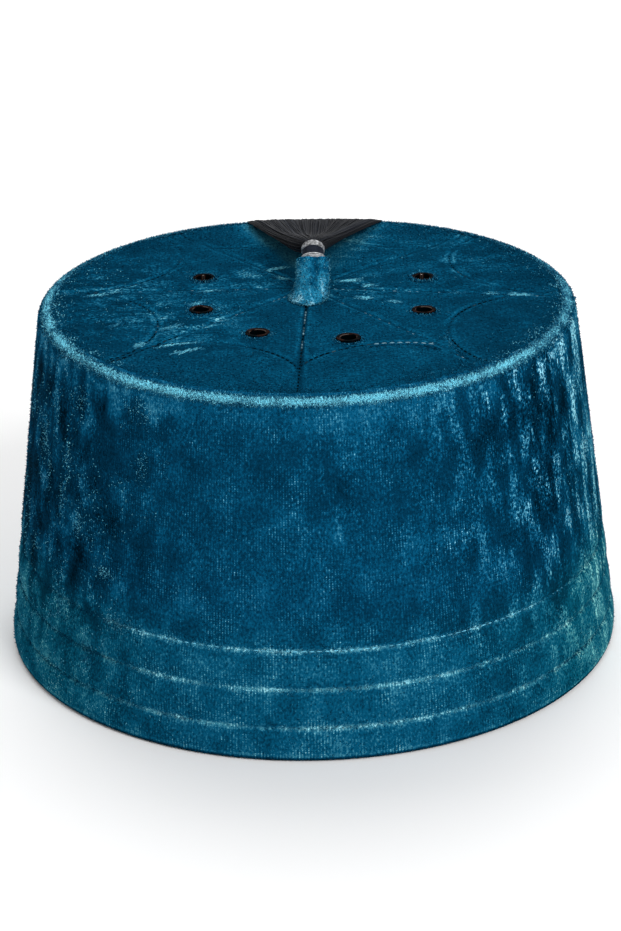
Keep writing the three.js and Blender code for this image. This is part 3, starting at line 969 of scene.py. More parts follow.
def row_wear(points, width):
    """How far the pile along the rows is open: in broken clumps, and most in front."""
    clumps = 0.8 + 0.5 * soft_noise(points * [1, 1, 0.2], 0.004, 6)
    in_front = 0.45 + 0.55 * bell(np.arctan2(points[:, 0], -points[:, 1]), width)
    return clumps, in_front * row_shown(points)


def rim_middle(points):
    """Where the splayed band lies on the shoulder's rounding, in degrees: higher towards the sides."""
    return 41 + 31 * smoothstep(30, 85, from_front(points))


def rim_band_and_highlight(crown, points):
    """How far the pile is splayed over the shoulder, painted as a highlight: a broken band that fades out
    at the back.
    """
    centre, height = shoulder_ring(crown)
    turn = np.degrees(np.arctan2(points[:, 2] - height, np.hypot(*points[:, :2].T) - centre))
    middle = rim_middle(points)
    aside = smoothstep(25, 60, from_front(points))
    uneven = (0.45 + 0.45 * aside) * soft_noise(points * [1, 1, 0.3], 0.005, 14)
    band = bell(turn - middle, 17 + 4 * aside) * smoothstep(middle + 31, middle + 19, turn)
    # The painted highlight fades out towards the back.
    band *= 1 - 0.75 * smoothstep(88, 118, from_front(points))
    return band * np.clip(0.95 + uneven, 0.15, 1.2) * (points[:, 2] > 0.1)


class FEZ_OT_stage(bpy.types.Operator):
    """Sets the floor, the light and the camera"""
    bl_idname = "fez.stage"
    bl_label = "Stage"

    def execute(self, context):
        scene, stage = context.scene, context.scene.fez_stage
        scene.view_settings.view_transform = "Standard"
        bm = bmesh.new()
        bmesh.ops.create_grid(bm, x_segments=1, y_segments=1, size=FLOOR_SIZE)
        bmesh.ops.translate(bm, verts=bm.verts, vec=(0, 0, -FLOOR_GAP))
        floor = bpy.data.objects.new("floor", finish_mesh(bm, "floor"))
        scene.collection.objects.link(floor)
        material, tree = new_material("pale studio floor")
        shader = add(tree, "BsdfPrincipled", Base_Color=opaque(stage.floor), Roughness=0.9,
                     Specular_IOR_Level=0.1)
        add(tree, "OutputMaterial", shader)
        floor.data.materials.append(material)
        for name, (place, size) in LIGHTS.items():
            self.light(scene, name, Vector(place), size, getattr(stage, name))
        scene.world = bpy.data.worlds.new("studio")
        scene.world.use_nodes = True
        sky = scene.world.node_tree.nodes["Background"].inputs
        sky["Color"].default_value = (1, 1, 1, 1)
        sky["Strength"].default_value = stage.sky
        self.camera(scene, stage)
        return {"FINISHED"}

    def light(self, scene, name, place, size, power):
        """A square soft box that faces the hat."""
        data = bpy.data.lights.new(name, "AREA")
        data.size = size
        data.energy = power
        lamp = bpy.data.objects.new(name, data)
        lamp.location = place
        lamp.rotation_euler = (Vector((0, 0, LIT_HEIGHT)) - place).to_track_quat("-Z", "Y").to_euler()
        scene.collection.objects.link(lamp)

    def camera(self, scene, stage):
        """A long lens in front of the hat, rolled a little as the picture is."""
        data = bpy.data.cameras.new("camera")
        data.sensor_width = 36
        data.lens = stage.lens
        ahead = Vector((0, math.cos(stage.elevation), -math.sin(stage.elevation)))
        place = Matrix.Translation(Vector((0, 0, stage.aim)) - ahead * stage.distance)
        turn = ahead.to_track_quat("-Z", "Y").to_matrix() @ Matrix.Rotation(-stage.roll, 3, "Z")
        scene.camera = bpy.data.objects.new("camera", data)
        scene.camera.matrix_world = place @ turn.to_4x4()
        scene.collection.objects.link(scene.camera)


class FEZ_OT_side(bpy.types.Operator):
    """Builds the velvet side with its sewn hem"""
    bl_idname = "fez.side"
    bl_label = "Side"

    def execute(self, context):
        crown, velvet, stitching, _, _ = settings()
        bm = spun(side_profile(crown), crown.steps, True)
        for face in bm.faces:
            centre = face.calc_center_median()
            inward = face.normal.x * centre.x + face.normal.y * centre.y < 0
            face.material_index = int(inward and centre.z < crown.height - crown.thickness)
        mesh = finish_mesh(bm, "velvet_side")
        points = points_of(mesh)
        self.wear_and_painted_light(mesh, crown, points)
        set_points(mesh, pressed(crown, self.uneven(crown, stitching, points)))
        streaks = per(velvet.streak_width, velvet.streak_width, velvet.streak_length)
        tufts = per(velvet.tuft, velvet.tuft, velvet.tuft_length)
        wales = round(2 * math.pi * crown.base_radius / velvet.wale)
        cloth = velvet_material("teal crushed velvet, side", velvet, velvet.bright, streaks, tufts, wales)
        place_piece(mesh, [cloth, backing_material(crown)], "velvet", "crown_side")
        return {"FINISHED"}

    def uneven(self, crown, stitching, points):
        """Points of the side, with the unevenness of the cloth and the pull of each stitch."""
        x, y, z = points.T
        radius = np.hypot(x, y)
        stitches = round(2 * math.pi * crown.base_radius / stitching.pitch)
        near_row = sum(bell(z - row, 0.0016) for row in row_heights(crown))
        swell = 0.00022 * soft_noise(points, 0.030, 1) + 0.00010 * soft_noise(points, 0.008, 2)
        swell += 0.00009 * near_row * np.cos(np.arctan2(y, x) * stitches)
        swell *= smoothstep(0.0, 0.006, z) * (radius > wall_radius(crown, z) - crown.thickness / 2)
        return points * np.column_stack([1 + swell / radius, 1 + swell / radius, np.ones(len(z))])

    def wear_and_painted_light(self, mesh, crown, points):
        """Stores how far the pile is crushed and faded, and how pale it lies.

        It is open over the shoulder and along the rows, and paler towards the hem. Painted light is added
        in:
        a highlight over the splayed pile along the front of the rim, shade on the left side, shade along
        the lower edge with a highlight line just above it, and a sheen that pales and greys the right edge.
        """
        x, y, z = points.T
        aside = from_front(points)
        left = smoothstep(-0.02, -0.065, x)
        low = smoothstep(0.044, 0.026, z)
        crush = side_crush(points)
        # The splayed band over the shoulder carries a painted highlight, which fades out at the back.
        band = rim_band_and_highlight(crown, points)
        clumps, shown = row_wear(points, 1.1)
        marks = sum(bell(z - row, 0.0007) for row in row_heights(crown)) * np.clip(clumps, 0.2, 1.2) * shown
        nap = 0.375 + 0.06 * soft_noise(points, 0.022, 4) + 0.10 * soft_noise(points, 0.007, 5)
        nap += crush * (0.38 * soft_noise(points * [1, 1, 0.35], 0.007, 13) - 0.10)
        nap += 0.36 * band + 0.36 * marks
        for change, height, half_width in SIDE_BANDS:
            nap += change * bell(z - height, half_width)
        for change, axis, start, full in SIDE_FADES:
            nap += change * smoothstep(start, full, points[:, axis])
        nap -= 0.12 * bell(np.degrees(np.arctan2(y, x)) + 33, 8) * smoothstep(0.03, 0.05, z)
        hanging = np.clip(soft_noise(points * [1, 1, 0.12], 0.0035, 18), 0, 1)
        nap += 0.35 * hanging * smoothstep(0.084, 0.105, z) * smoothstep(15, 45, aside)
        nap += low * (0.11 * smoothstep(-0.055, -0.085, x) - 0.08 * smoothstep(0.03, 0.08, x))
        tufting = side_clumps(points) + 0.5 * soft_noise(points, 0.0022, 26)
        tufting = 1.7 * np.clip(tufting, 0, 1) - np.clip(-tufting, 0, 1) - 0.1
        nap += left * ((0.19 - 0.11 * low) * tufting + 0.06 * bell(z - 0.095, 0.012))
        faded = smoothstep(0.050, 0.028, z) * (0.3 + 0.5 * smoothstep(20, 60, aside))
        # Painted sheen: the right edge of the side is tinted greyer.
        faded += 0.4 * smoothstep(0.066, 0.090, x)
        crush = crush * (1 - 0.4 * left) + 0.6 * marks + 0.8 * band
        set_attributes(mesh, crush=np.clip(crush, 0, 1), nap=nap, faded=np.clip(faded, 0, 1))


class FEZ_OT_tip(bpy.types.Operator):
    """Builds the stitched velvet tip with a hole for each eyelet"""
    bl_idname = "fez.tip"
    bl_label = "Tip"

    def execute(self, context):
        crown, velvet, stitching, eyelet, _ = settings()
        profile = [(crown.tip_edge * ring / TIP_RINGS, 0.0) for ring in range(TIP_RINGS + 1)]
        bm = spun(profile, TIP_STEPS, False)
        self.pierce(bm, eyelet.bore + eyelet.wall + eyelet.seat)
        mesh = finish_mesh(bm, "velvet_tip")
        points = points_of(mesh)
        self.wear_and_painted_light(mesh, stitching, eyelet, points)
        points[:, 2] = tip_height(crown, stitching, points[:, :2])
        points[:, 2] += 0.00012 * soft_noise(points, 0.012, 3)
        set_points(mesh, pressed(crown, points))
        streaks = per(velvet.fleck_length, velvet.fleck_width, velvet.fleck_width)
        tufts = per(velvet.tuft_length, velvet.tuft, velvet.tuft)
        cloth = velvet_material("teal crushed velvet, tip", velvet, velvet.bright, streaks, tufts)
        piece = place_piece(mesh, [cloth, backing_material(crown)], "velvet", "crown_tip")
        wall = piece.modifiers.new("thickness", "SOLIDIFY")
        wall.thickness = crown.tip_thickness
        wall.offset = -1
        wall.material_offset = 1
        return {"FINISHED"}

    def pierce(self, bm, hole):
        """Cuts a round hole for each eyelet, and keeps its edge and the tip's sharp."""
        spots = [Vector((*centre, 0)) for centre in EYELET_CENTRES]
        pierced = [vert for vert in bm.verts if min((vert.co - spot).length for spot in spots) < hole]
        bmesh.ops.delete(bm, geom=pierced, context="VERTS")
        for vert in bm.verts:
            spot = min(spots, key=lambda place: (vert.co - place).length)
            gap = vert.co - spot
            if vert.is_boundary and gap.length < 2 * hole:
                vert.co = spot + gap * (hole / gap.length)
        for face in bm.faces:
            if face.normal.z < 0:
                face.normal_flip()
        for edge in bm.edges:
            edge.smooth = not edge.is_boundary

    def wear_and_painted_light(self, mesh, stitching, eyelet, points):
        """Stores how far the pile is crushed and faded, and how pale it lies.

        It is even, with soft clouds, and paler beside the lines and the eyelets. Beside the tassel it is
        painted paler, to fill in the tassel's cast shadow, and painted shade darkens the valleys of the
        stitched lines, most along the front seam.
        """
        x, y, _ = points.T
        crush = tip_crush(points)
        gap = stitch_gap(stitching, points[:, :2])
        ahead, left = towards(SEAM_BEARINGS[FRONT_SEAM])
        offset = points[:, :2] - seam_centre(stitching)
        nap = 0.365 + 0.06 * soft_noise(points, 0.020, 7) + 0.06 * soft_noise(points, 0.006, 8)
        # Painted shade along the valley of the front seam, deeper towards the rim.
        on_seam = (offset @ ahead > 0) * bell(offset @ left, 0.0006)
        nap -= on_seam * (0.16 + 0.12 * smoothstep(-0.035, -0.055, y))
        nap -= 0.05 * smoothstep(0.03, 0.06, np.abs(x))
        # Painted light: paler beside and under the tassel's fan, to fill in the shadow it casts.
        from_fan = np.abs(x - STEM_HIGH.x + 0.006) - 0.35 * (y - 0.015)
        fan_shadow_fill = smoothstep(0.009, 0.0, from_fan) * smoothstep(0.015, 0.030, y)
        nap += fan_shadow_fill * (0.31 - 0.09 * smoothstep(0.0, 0.01, x))
        broken = np.clip(0.4 + 0.9 * soft_noise(points, 0.004, 12), 0, 1)
        nap += bell(gap - 0.0011, 0.0006) * (0.05 + 0.45 * broken * (0.25 + crush))
        # Painted shade along the valleys of all the stitched lines.
        nap -= 0.08 * bell(gap, 0.0006)
        halo = sum(bell(np.hypot(*(points[:, :2] - spot).T) - eyelet.flange, 0.0005)
                   for spot in EYELET_CENTRES)
        nap += 0.3 * halo * np.clip(0.5 + 1.2 * soft_noise(points, 0.003, 20), 0, 1)
        set_attributes(mesh, crush=crush, faded=np.full(len(x), 0.25), nap=nap)


class FEZ_OT_eyelets(bpy.types.Operator):
    """Builds the enamelled eyelets"""
    bl_idname = "fez.eyelets"
    bl_label = "Eyelets"

    def execute(self, context):
        crown, _, _, eyelet, _ = settings()
        enamel = enamel_material(eyelet)
        for number, (name, middle) in enumerate(zip(EYELET_NODES, EYELET_CENTRES), 1):
            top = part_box(name)[1].z
            bm = spun(self.profile(crown, eyelet), EYELET_STEPS, True)
            bmesh.ops.translate(bm, verts=bm.verts, vec=(*middle, top - eyelet.seat - eyelet.roll))
            mesh = finish_mesh(bm, f"eyelet_ring_{number}")
            set_attributes(mesh, worn=self.wear_and_painted_light(eyelet, points_of(mesh), middle, top))
            place_piece(mesh, [enamel], "black_metal", name)
        return {"FINISHED"}

    def wear_and_painted_light(self, eyelet, points, middle, top):
        """How far the enamel is worn, thin on the flange and through on the lip, with a painted glint in
        the far throats.
        """
        x, y, z = points.T
        radius = np.hypot(x - middle[0], y - middle[1])
        lip = 0.3 * eyelet.roll
        from_lip = np.hypot(radius - eyelet.bore - lip, z - top + lip)
        patches = soft_noise(points, 0.0017, 22)
        rubbed = np.clip(0.85 + 2.0 * patches, 0, 1) * bell(from_lip, 0.0002)
        thin = np.clip(0.35 - 0.9 * patches, 0, 0.55) * bell(radius - eyelet.flange + 0.0007, 0.0006)
        worn = np.maximum(thin, rubbed)
        # Painted glint: a streak of bare metal down the far wall of the throat, which faces the front.
        if middle[1] > FAR_EYELETS:
            streak = bell(x - middle[0] + 0.0002, 0.0006) * (y > middle[1])
            worn = np.maximum(0.5 * worn, streak * (radius < eyelet.bore + 0.0002))
        return worn

    def profile(self, crown, eyelet):
        """Section of an eyelet about its axis, from the tip's upper face."""
        barrel = eyelet.bore + eyelet.wall
        back = -crown.tip_thickness - eyelet.seat - crown.tip_crown / 2
        clinched = back - 0.0005
        roll_centre = (eyelet.flange - eyelet.roll, eyelet.seat)
        throat_centre = (eyelet.bore + eyelet.roll, eyelet.seat)
        return [
            (eyelet.bore, clinched),
            (eyelet.back, clinched),
            (eyelet.back, back),
            (barrel, back),
            (barrel, eyelet.seat),
            *arc_points(roll_centre, eyelet.roll, 0, math.pi / 2, 8),
            *arc_points(throat_centre, eyelet.roll, math.pi / 2, math.pi, 8),
        ]


class FEZ_OT_stitches(bpy.types.Operator):
    """Lays the stitches along the hem's rows and the lines of the tip"""
    bl_idname = "fez.stitches"
    bl_label = "Stitches"

    def execute(self, context):
        crown, _, stitching, _, _ = settings()
        rng = np.random.default_rng(11)
        *places, worn = self.tip_places(crown, stitching)
        thread = thread_material("charcoal sewing thread", stitching.tip_thread, stitching.frayed, 0.0)
        shades = np.clip(0.65 * rng.uniform(0.1, 1.0, len(worn)) + worn, 0, 1)
        mesh = stitch_mesh("tip_stitches", *places, (stitching.stitch, stitching.tip_gauge), shades)
        place_piece(mesh, [thread], "charcoal_thread")
        places = self.hem_places(crown, stitching)
        pale = times(1.6, stitching.hem_thread)
        thread = thread_material("teal sewing thread", stitching.hem_thread, pale, 0.0)
        shades = rng.uniform(0.35, 1.0, len(places[0]))
        mesh = stitch_mesh("hem_stitches", *places, (stitching.stitch, stitching.thread), shades)
        place_piece(mesh, [thread], "velvet")
        return {"FINISHED"}

    def tip_places(self, crown, stitching):
        """Places, directions, normals and fraying of the stitches on the tip.

        The seam in front stands clear. The other seams are laid over by pile, and frayed bits show.
        """
        spots = [evenly(line, stitching.pitch) for line in tip_lines(crown, stitching)]
        flat, ahead = (np.concatenate(part) for part in zip(*spots))
        seam = np.repeat(np.arange(len(spots)) % 2 == 0, [len(places) for places, _ in spots])
        x, y = flat.T
        offset = flat - seam_centre(stitching)
        in_front = seam & (np.abs(offset[:, 0]) < -0.2 * offset[:, 1])
        laid_over = seam & ~in_front & ((np.hypot(*offset.T) < 0.056) | (x > 0.02))
        bleached, hidden = (~seam & (np.hypot(x - middle_x, y - middle_y) < reach)
                            for middle_x, middle_y, reach in (BLEACHED_STRETCH, HIDDEN_STRETCH))
        cover = np.clip(0.3 + 1.2 * soft_noise(level_points(flat), 0.012, 17), 0, 1)
        frayed = soft_noise(level_points(flat), 0.0021, 21) > 0.08
        sunk = 0.35 * smoothstep(-0.030, 0.015, y) + 0.5 * cover - 0.2 + 0.9 * laid_over
        sunk[in_front] = -0.1
        sunk[laid_over & frayed & (y < 0.012)] = 0.3
        sunk[bleached] = 0.0
        sunk += hidden
        worn = 0.4 * in_front * smoothstep(-0.056, -0.025, y) + 0.6 * laid_over + bleached
        level = tip_height(crown, stitching, flat) - stitching.tip_gauge * sunk
        centres = pressed(crown, np.column_stack([flat, level]))
        return centres, level_points(ahead), np.tile([0.0, 0.0, 1.0], (len(flat), 1)), worn

    def hem_places(self, crown, stitching):
        """Places, directions and normals of the stitches round the hem."""
        rows = []
        for row in row_heights(crown):
            radius = side_face(crown, row) + stitching.thread * 0.1
            turns = np.arange(0, 2 * math.pi, stitching.pitch / radius)
            outward = around(turns)
            sunk = 0.0006 * (1 - row_shown(outward * radius))
            rows.append((outward * (radius - sunk)[:, None] + [0, 0, row],
                         around(turns + math.pi / 2), outward))
        return [np.concatenate(part) for part in zip(*rows)]


class FEZ_OT_stem(bpy.types.Operator):
    """Builds the velvet stem of the tassel"""
    bl_idname = "fez.stem"
    bl_label = "Stem"

    def execute(self, context):
        _, velvet, _, _, tassel = settings()
        bm = bmesh.new()
        loops = []
        for share in np.linspace(0, 1, STEM_RINGS + 1):
            verts = bmesh.ops.create_circle(bm, segments=STEM_SIDES, radius=1.0)["verts"]
            for vert in verts:
                vert.co = stem_point(math.atan2(vert.co.y, vert.co.x), share)
            place = across_bend(tassel, stem_bend(tassel), share * tassel.stem_length)
            bmesh.ops.transform(bm, matrix=place, verts=verts)
            loops.append(list({edge for vert in verts for edge in vert.link_edges}))
        for lower, upper in zip(loops[:-1], loops[1:]):
            bmesh.ops.bridge_loops(bm, edges=lower + upper)
        for loop in (loops[0], loops[-1]):
            bmesh.ops.contextual_create(bm, geom=loop)
        bmesh.ops.recalc_face_normals(bm, faces=bm.faces)
        mesh = finish_mesh(bm, "velvet_stem")
        points = points_of(mesh)
        height = points[:, 2] - STEM_LOW.z
        fold, shaded = stem_shading(tassel, points)
        # Painted shade along the fold and on the right side of the stem.
        nap = 0.79 + 0.28 * soft_noise(points, 0.003, 9) - 0.14 * fold - 0.17 * shaded
        nap += 0.04 * bell(height, 0.003)
        nap -= 0.16 * smoothstep(0.5, 0.8, height / (STEM_HIGH.z - STEM_LOW.z))
        set_attributes(mesh, crush=np.full(len(points), 0.05), nap=nap)
        streaks = per(3 * velvet.tuft, 3 * velvet.tuft, velvet.streak_width)
        tufts = per(velvet.tuft, velvet.tuft, velvet.tuft_length)
        cloth = velvet_material("teal crushed velvet, stem", velvet, velvet.stem, streaks, tufts)
        place_piece(mesh, [cloth], "velvet", "tassel_stem")
        return {"FINISHED"}


class FEZ_OT_neck(bpy.types.Operator):
    """Winds the silver cord round the neck of the tassel"""
    bl_idname = "fez.neck"
    bl_label = "Neck cords"

    def execute(self, context):
        _, _, _, _, tassel = settings()
        silver = silver_material(tassel)
        # Painted light: glints painted along each band, and the near band painted brighter than the far
        # one.
        for name, at, turns, bright in (("near", tassel.near_cord, 3, 0.85),
                                        ("far", tassel.far_cord, 4, 0.45)):
            mesh = self.winding(f"neck_winding_{name}", tassel, at, turns)
            shades = bright + 1.2 * soft_noise(points_of(mesh), 0.0006, 15)
            set_attributes(mesh, shade=np.clip(shades, 0, 1))
            place_piece(mesh, [silver], "silver_cord", f"neck_cord_{name}")
        return {"FINISHED"}

    def winding(self, name, tassel, at, turns):
        """A band of turns side by side round the neck."""
        width = 2 * tassel.cord_radius / 3
        middle = tassel.neck_radius + 0.0003 + tassel.cord_radius
        section = [(middle + tassel.cord_radius * 0.95 * math.cos(turn), width * 0.55 * math.sin(turn))
                   for turn in np.arange(CORD_SIDES) * 2 * math.pi / CORD_SIDES]
        bm = bmesh.new()
        for turn in range(turns):
            ring = spun(section, CORD_STEPS, True)
            place = across_bend(tassel, neck_bend(tassel), at + (turn - (turns - 1) / 2) * width)
            bmesh.ops.transform(ring, matrix=place, verts=ring.verts)
            join(bm, finish_mesh(ring, "turn"))
        return finish_mesh(bm, name)


class FEZ_OT_tassel(bpy.types.Operator):
    """Builds the threads of the tassel"""
    bl_idname = "fez.tassel"
    bl_label = "Tassel"

    def execute(self, context):
        crown, _, _, _, tassel = settings()
        rng = np.random.default_rng(23)
        locks = [self.lock_threads(crown, tassel, lock, rng) for lock in range(tassel.locks)]
        paths, shades = (np.concatenate(part) for part in zip(*locks))
        widths = tassel.thread * rng.uniform(0.8, 1.2, (len(paths), 1)) * np.ones(paths.shape[1])
        widths[:, -1] *= 0.4
        threads = tube_mesh("tassel_threads", paths, widths, 3, shades)
        pale = times(2, tassel.charcoal)
        charcoal = thread_material("charcoal viscose thread", tassel.charcoal, pale, 0.06)
        piece = place_piece(threads, [charcoal], "charcoal_thread", "tassel")
        bm = bmesh.new()
        bm.from_mesh(piece.data)
        join(bm, self.neck(tassel))
        bm.to_mesh(piece.data)
        bm.free()
        return {"FINISHED"}

    def lock_points(self, crown, tassel, side, end_height):
        """Centre points of a lock, from the neck to its end, and its sideways direction."""
        y, z, _ = along_bend(neck_bend(tassel), tassel.neck_length)
        right = max(side, 0.0)
        rim_x = crown.fan_x + side * tassel.fan * (1 - 0.05 * right)
        bearing = math.acos(rim_x / crown.top_radius)
        outward = np.array([math.cos(bearing), math.sin(bearing), 0])
        rim_off, low_off = (tassel.clearance + LOCK_SECTIONS[section][1] / 2
                            for section in (RIM_SECTION, LOW_SECTION))
        centre, top = shoulder_ring(crown)
        lower = top + 0.75 * (end_height - top)
        profile = arc_points((centre, top), crown.shoulder + rim_off, math.pi / 2, 0, 2)
        profile += [(wall_radius(crown, height) + low_off, height) for height in (lower, end_height)]
        wall = pressed(crown, np.array([outward * radius + [0, 0, height] for radius, height in profile]))
        neck = np.array([tassel.stem_x + side * tassel.neck_spread, y - 0.0003, z])
        spread = side * tassel.bulge_spread * (1 - 0.35 * right)
        bulge = np.array([tassel.stem_x + spread, y + tassel.bulge_length,
                          z - tassel.bulge_drop * (1 + 1.5 * side ** 2)])
        middle = (bulge + wall[0]) / 2 - [0, 0, tassel.sag * (1 - 0.75 * side ** 2)]
        middle[0] += 0.0006 * math.sin(9 * side) - 0.0018 * right ** 2
        return np.stack([neck, bulge, middle, *wall]), np.array([outward[1], -outward[0], 0])

    def lock_threads(self, crown, tassel, lock, rng):
        """Paths of the threads of one lock, spread over its sections, and a shade for each."""
        side = 2 * lock / (tassel.locks - 1) - 1
        end_height = tassel.end_height + (lock % 2) * tassel.stagger
        centres, sideways = self.lock_points(crown, tassel, side, end_height)
        through = np.cross(sideways, unit(np.gradient(centres, axis=0)))
        count = tassel.threads
        turn = rng.uniform(0, 2 * math.pi, count)
        spread = np.sqrt(rng.uniform(0, 1, count))
        beside = spread * np.cos(turn)
        across = np.outer(beside, LOCK_SECTIONS[:, 0]) / 2
        depth = np.outer(spread * np.sin(turn), LOCK_SECTIONS[:, 1]) / 2
        wander = rng.normal(0, 0.00035, (count, len(centres))) * np.linspace(0.2, 1.6, len(centres))
        points = centres + (across + wander)[..., None] * sideways + depth[..., None] * through
        points[:, -1, 2] += rng.normal(0, 0.0012, count)
        # Painted shade: the threads darken towards the edges of each lock, into the gaps between the locks.
        shades = rng.uniform(0.2, 1, count) * (1 - 0.9 * np.abs(beside) ** 2.5)
        shades *= rng.uniform(0.6, 1.2) * (1.06 - 0.14 * side)
        return curve_through(points, 5), shades

    def neck(self, tassel):
        """Dark windings round the neck, fuller between the two bands of cord."""
        turns = np.linspace(0, 2 * math.pi, NECK_SIDES + 1)
        paths, shades = [], []
        for at in np.linspace(0.0003, tassel.neck_length, NECK_RINGS):
            place = across_bend(tassel, neck_bend(tassel), at)
            between = tassel.near_cord < at < tassel.far_cord
            radius = tassel.neck_radius + (0.0008 if between else 0)
            paths.append([place @ Vector(point) for point in radius * around(turns)])
            shades.append(1.0 if between else 0.15)
        widths = np.full((NECK_RINGS, len(turns)), 0.0006)
        return tube_mesh("neck_threads", np.array(paths), widths, 6, np.array(shades))


class FEZ_OT_pile(bpy.types.Operator):
    """Adds splayed pile over the shoulder, along the hem, on the stem, the side and the tip"""
    bl_idname = "fez.pile"
    bl_label = "Splayed pile"

    def execute(self, context):
        crown, velvet, stitching, eyelet, tassel = settings()
        rng = np.random.default_rng(5)
        fibre = pile_material(velvet)
        for name, (roots, leans, lengths, shades), thickness in (
                ("shoulder_pile", self.shoulder(crown, rng), 1.9),
                ("hem_pile", self.hem(crown, rng), 1.0),
                ("stem_pile", self.stem(tassel, rng), 1.2),
                ("side_pile", self.side(crown, rng), 1.7),
                ("tip_pile", self.tip(crown, stitching, eyelet, rng), 1.7)):
            ends = roots + unit(leans) * velvet.pile_length * lengths[:, None]
            widths = velvet.pile_width * thickness * rng.uniform(0.7, 1.3, len(roots)) * (0.6 + shades)
            mesh = fibre_mesh(name, roots, ends, widths, shades)
            place_piece(mesh, [fibre], "velvet")
        return {"FINISHED"}

    # Each function below gives the roots, leans, lengths and shades of a part's fibres. A length is a
    # share of the pile's length.

    def shoulder(self, crown, rng):
        """Pile splayed over the shoulder, painted paler as a highlight along the front."""
        count = SHOULDER_FIBRES
        outward = around(rng.uniform(-math.pi, math.pi, count))
        upright = np.array([0, 0, 1.0])
        middle = np.radians(rim_middle(outward))
        spread = np.radians(13 + 5 * smoothstep(25, 60, from_front(outward)))
        turn = np.clip(rng.normal(middle, spread), -0.2, middle + math.radians(24))[:, None]
        normals = outward * np.cos(turn) + upright * np.sin(turn)
        upward = upright * np.cos(turn) - outward * np.sin(turn)
        centre, height = shoulder_ring(crown)
        roots = outward * centre + upright * height + crown.shoulder * normals
        leans = (0.30 * normals + upward * rng.normal(0.2, 0.6, (count, 1))
                 + np.cross(upright, outward) * rng.normal(0, 0.3, (count, 1)))
        lengths = rng.uniform(0.3, 0.8, count)
        aside = smoothstep(30, 75, from_front(roots))
        # Painted highlight: the fibres are paler in the splayed band, less so towards the sides and least
        # on the right.
        band = rim_band_and_highlight(crown, roots) * (1 - aside * (0.08 + 0.32 * smoothstep(0, 0.06, roots[:, 0])))
        shades = 0.44 - 0.14 * aside + 0.64 * band
        shades += rng.normal(0, 0.24, count) * (0.45 + 0.55 * np.clip(band + aside, 0, 1))
        return pressed(crown, roots), leans, lengths, np.clip(shades, 0.38 - 0.16 * aside, 1.1)

    def hem(self, crown, rng):
        """Pile that parts along the stitched rows."""
        count = HEM_ROW_FIBRES
        rows = []
        for row in row_heights(crown):
            bearing = rng.uniform(-math.pi, math.pi, count)
            outward, roots = on_side(crown, bearing, row + rng.normal(0, 0.0004, count))
            leans = 0.5 * outward + rng.normal(0, 0.6, outward.shape)
            clumps, shown = row_wear(roots, 1.0)
            rows.append((roots, leans, 0.95 * shown * clumps + rng.normal(0, 0.15, count)))
        roots, leans, shades = (np.concatenate(part) for part in zip(*rows))
        return roots, leans, rng.uniform(0.4, 0.7, len(roots)), np.clip(shades, 0.32, 1)

    def stem(self, tassel, rng):
        """Pile of the stem, thicker towards its foot."""
        count = STEM_FIBRES
        shares = rng.uniform(0, 1, count) ** 1.8
        turns = rng.uniform(-math.pi, math.pi, count)
        places = [across_bend(tassel, stem_bend(tassel), share * tassel.stem_length) for share in shares]
        roots = np.array([place @ stem_point(turn, share)
                          for place, turn, share in zip(places, turns, shares)])
        normals = np.array([place.to_3x3() @ Vector(outward)
                            for place, outward in zip(places, around(turns))])
        leans = normals + rng.normal(0, 0.5, normals.shape)
        lengths = rng.uniform(0.2, 0.5, count)
        fold, shaded = stem_shading(tassel, roots)
        # Painted shade along the fold and on the right side, as on the stem's cloth.
        shades = np.clip(rng.normal(0.64, 0.26, count) - 0.2 * fold - 0.16 * shaded, 0.1, 1)
        return roots, leans, lengths, shades

    def side(self, crown, rng):
        """Stray pile on the side, with its splayed tufts."""
        count, top = SIDE_FIBRES, crown.height - crown.shoulder
        bearing = rng.uniform(-math.pi, math.pi, count)
        height = rng.uniform(0.001, top, count)
        splayed = np.zeros(count)
        for number, (turn, level, half_width, half_height, bright) in enumerate(SIDE_FLECKS):
            tuft = slice(number * TUFT_FIBRES, (number + 1) * TUFT_FIBRES)
            spread = rng.normal(0, half_width, TUFT_FIBRES) / crown.base_radius
            bearing[tuft] = math.radians(turn) + spread
            height[tuft] = level + rng.normal(0, half_height, TUFT_FIBRES)
            splayed[tuft] = bright * rng.uniform(0.5, 1.3, TUFT_FIBRES)
        outward, roots = on_side(crown, bearing, np.clip(height, 0.001, top))
        leans = 0.35 * outward + np.array([0, 0, 1.0]) * rng.normal(0.2, 0.5, (count, 1))
        leans += 0.4 * rng.normal(0, 1, roots.shape)
        lengths = rng.uniform(0.2, 0.5, count)
        left = smoothstep(-0.02, -0.07, roots[:, 0])
        clumps = side_clumps(roots)
        loose = 0.35 + 0.8 * smoothstep(-0.03, -0.08, roots[:, 0]) + 0.4 * side_crush(roots)
        loose *= np.clip(0.75 + 1.1 * soft_noise(roots * [1, 1, 0.5], 0.010, 16), 0.2, 1.6)
        loose *= 1 + left * np.clip(2.2 * clumps, -0.8, 1.2)
        glint = rng.uniform(0, 1, count) ** (4 - left * (1.5 + np.clip(2.5 * clumps, 0, 1.3)))
        shades = np.clip(0.2 + rng.normal(0, 0.07, count) + loose * glint, 0, 0.9)
        return pressed(crown, roots), leans, lengths, np.maximum(shades, splayed)

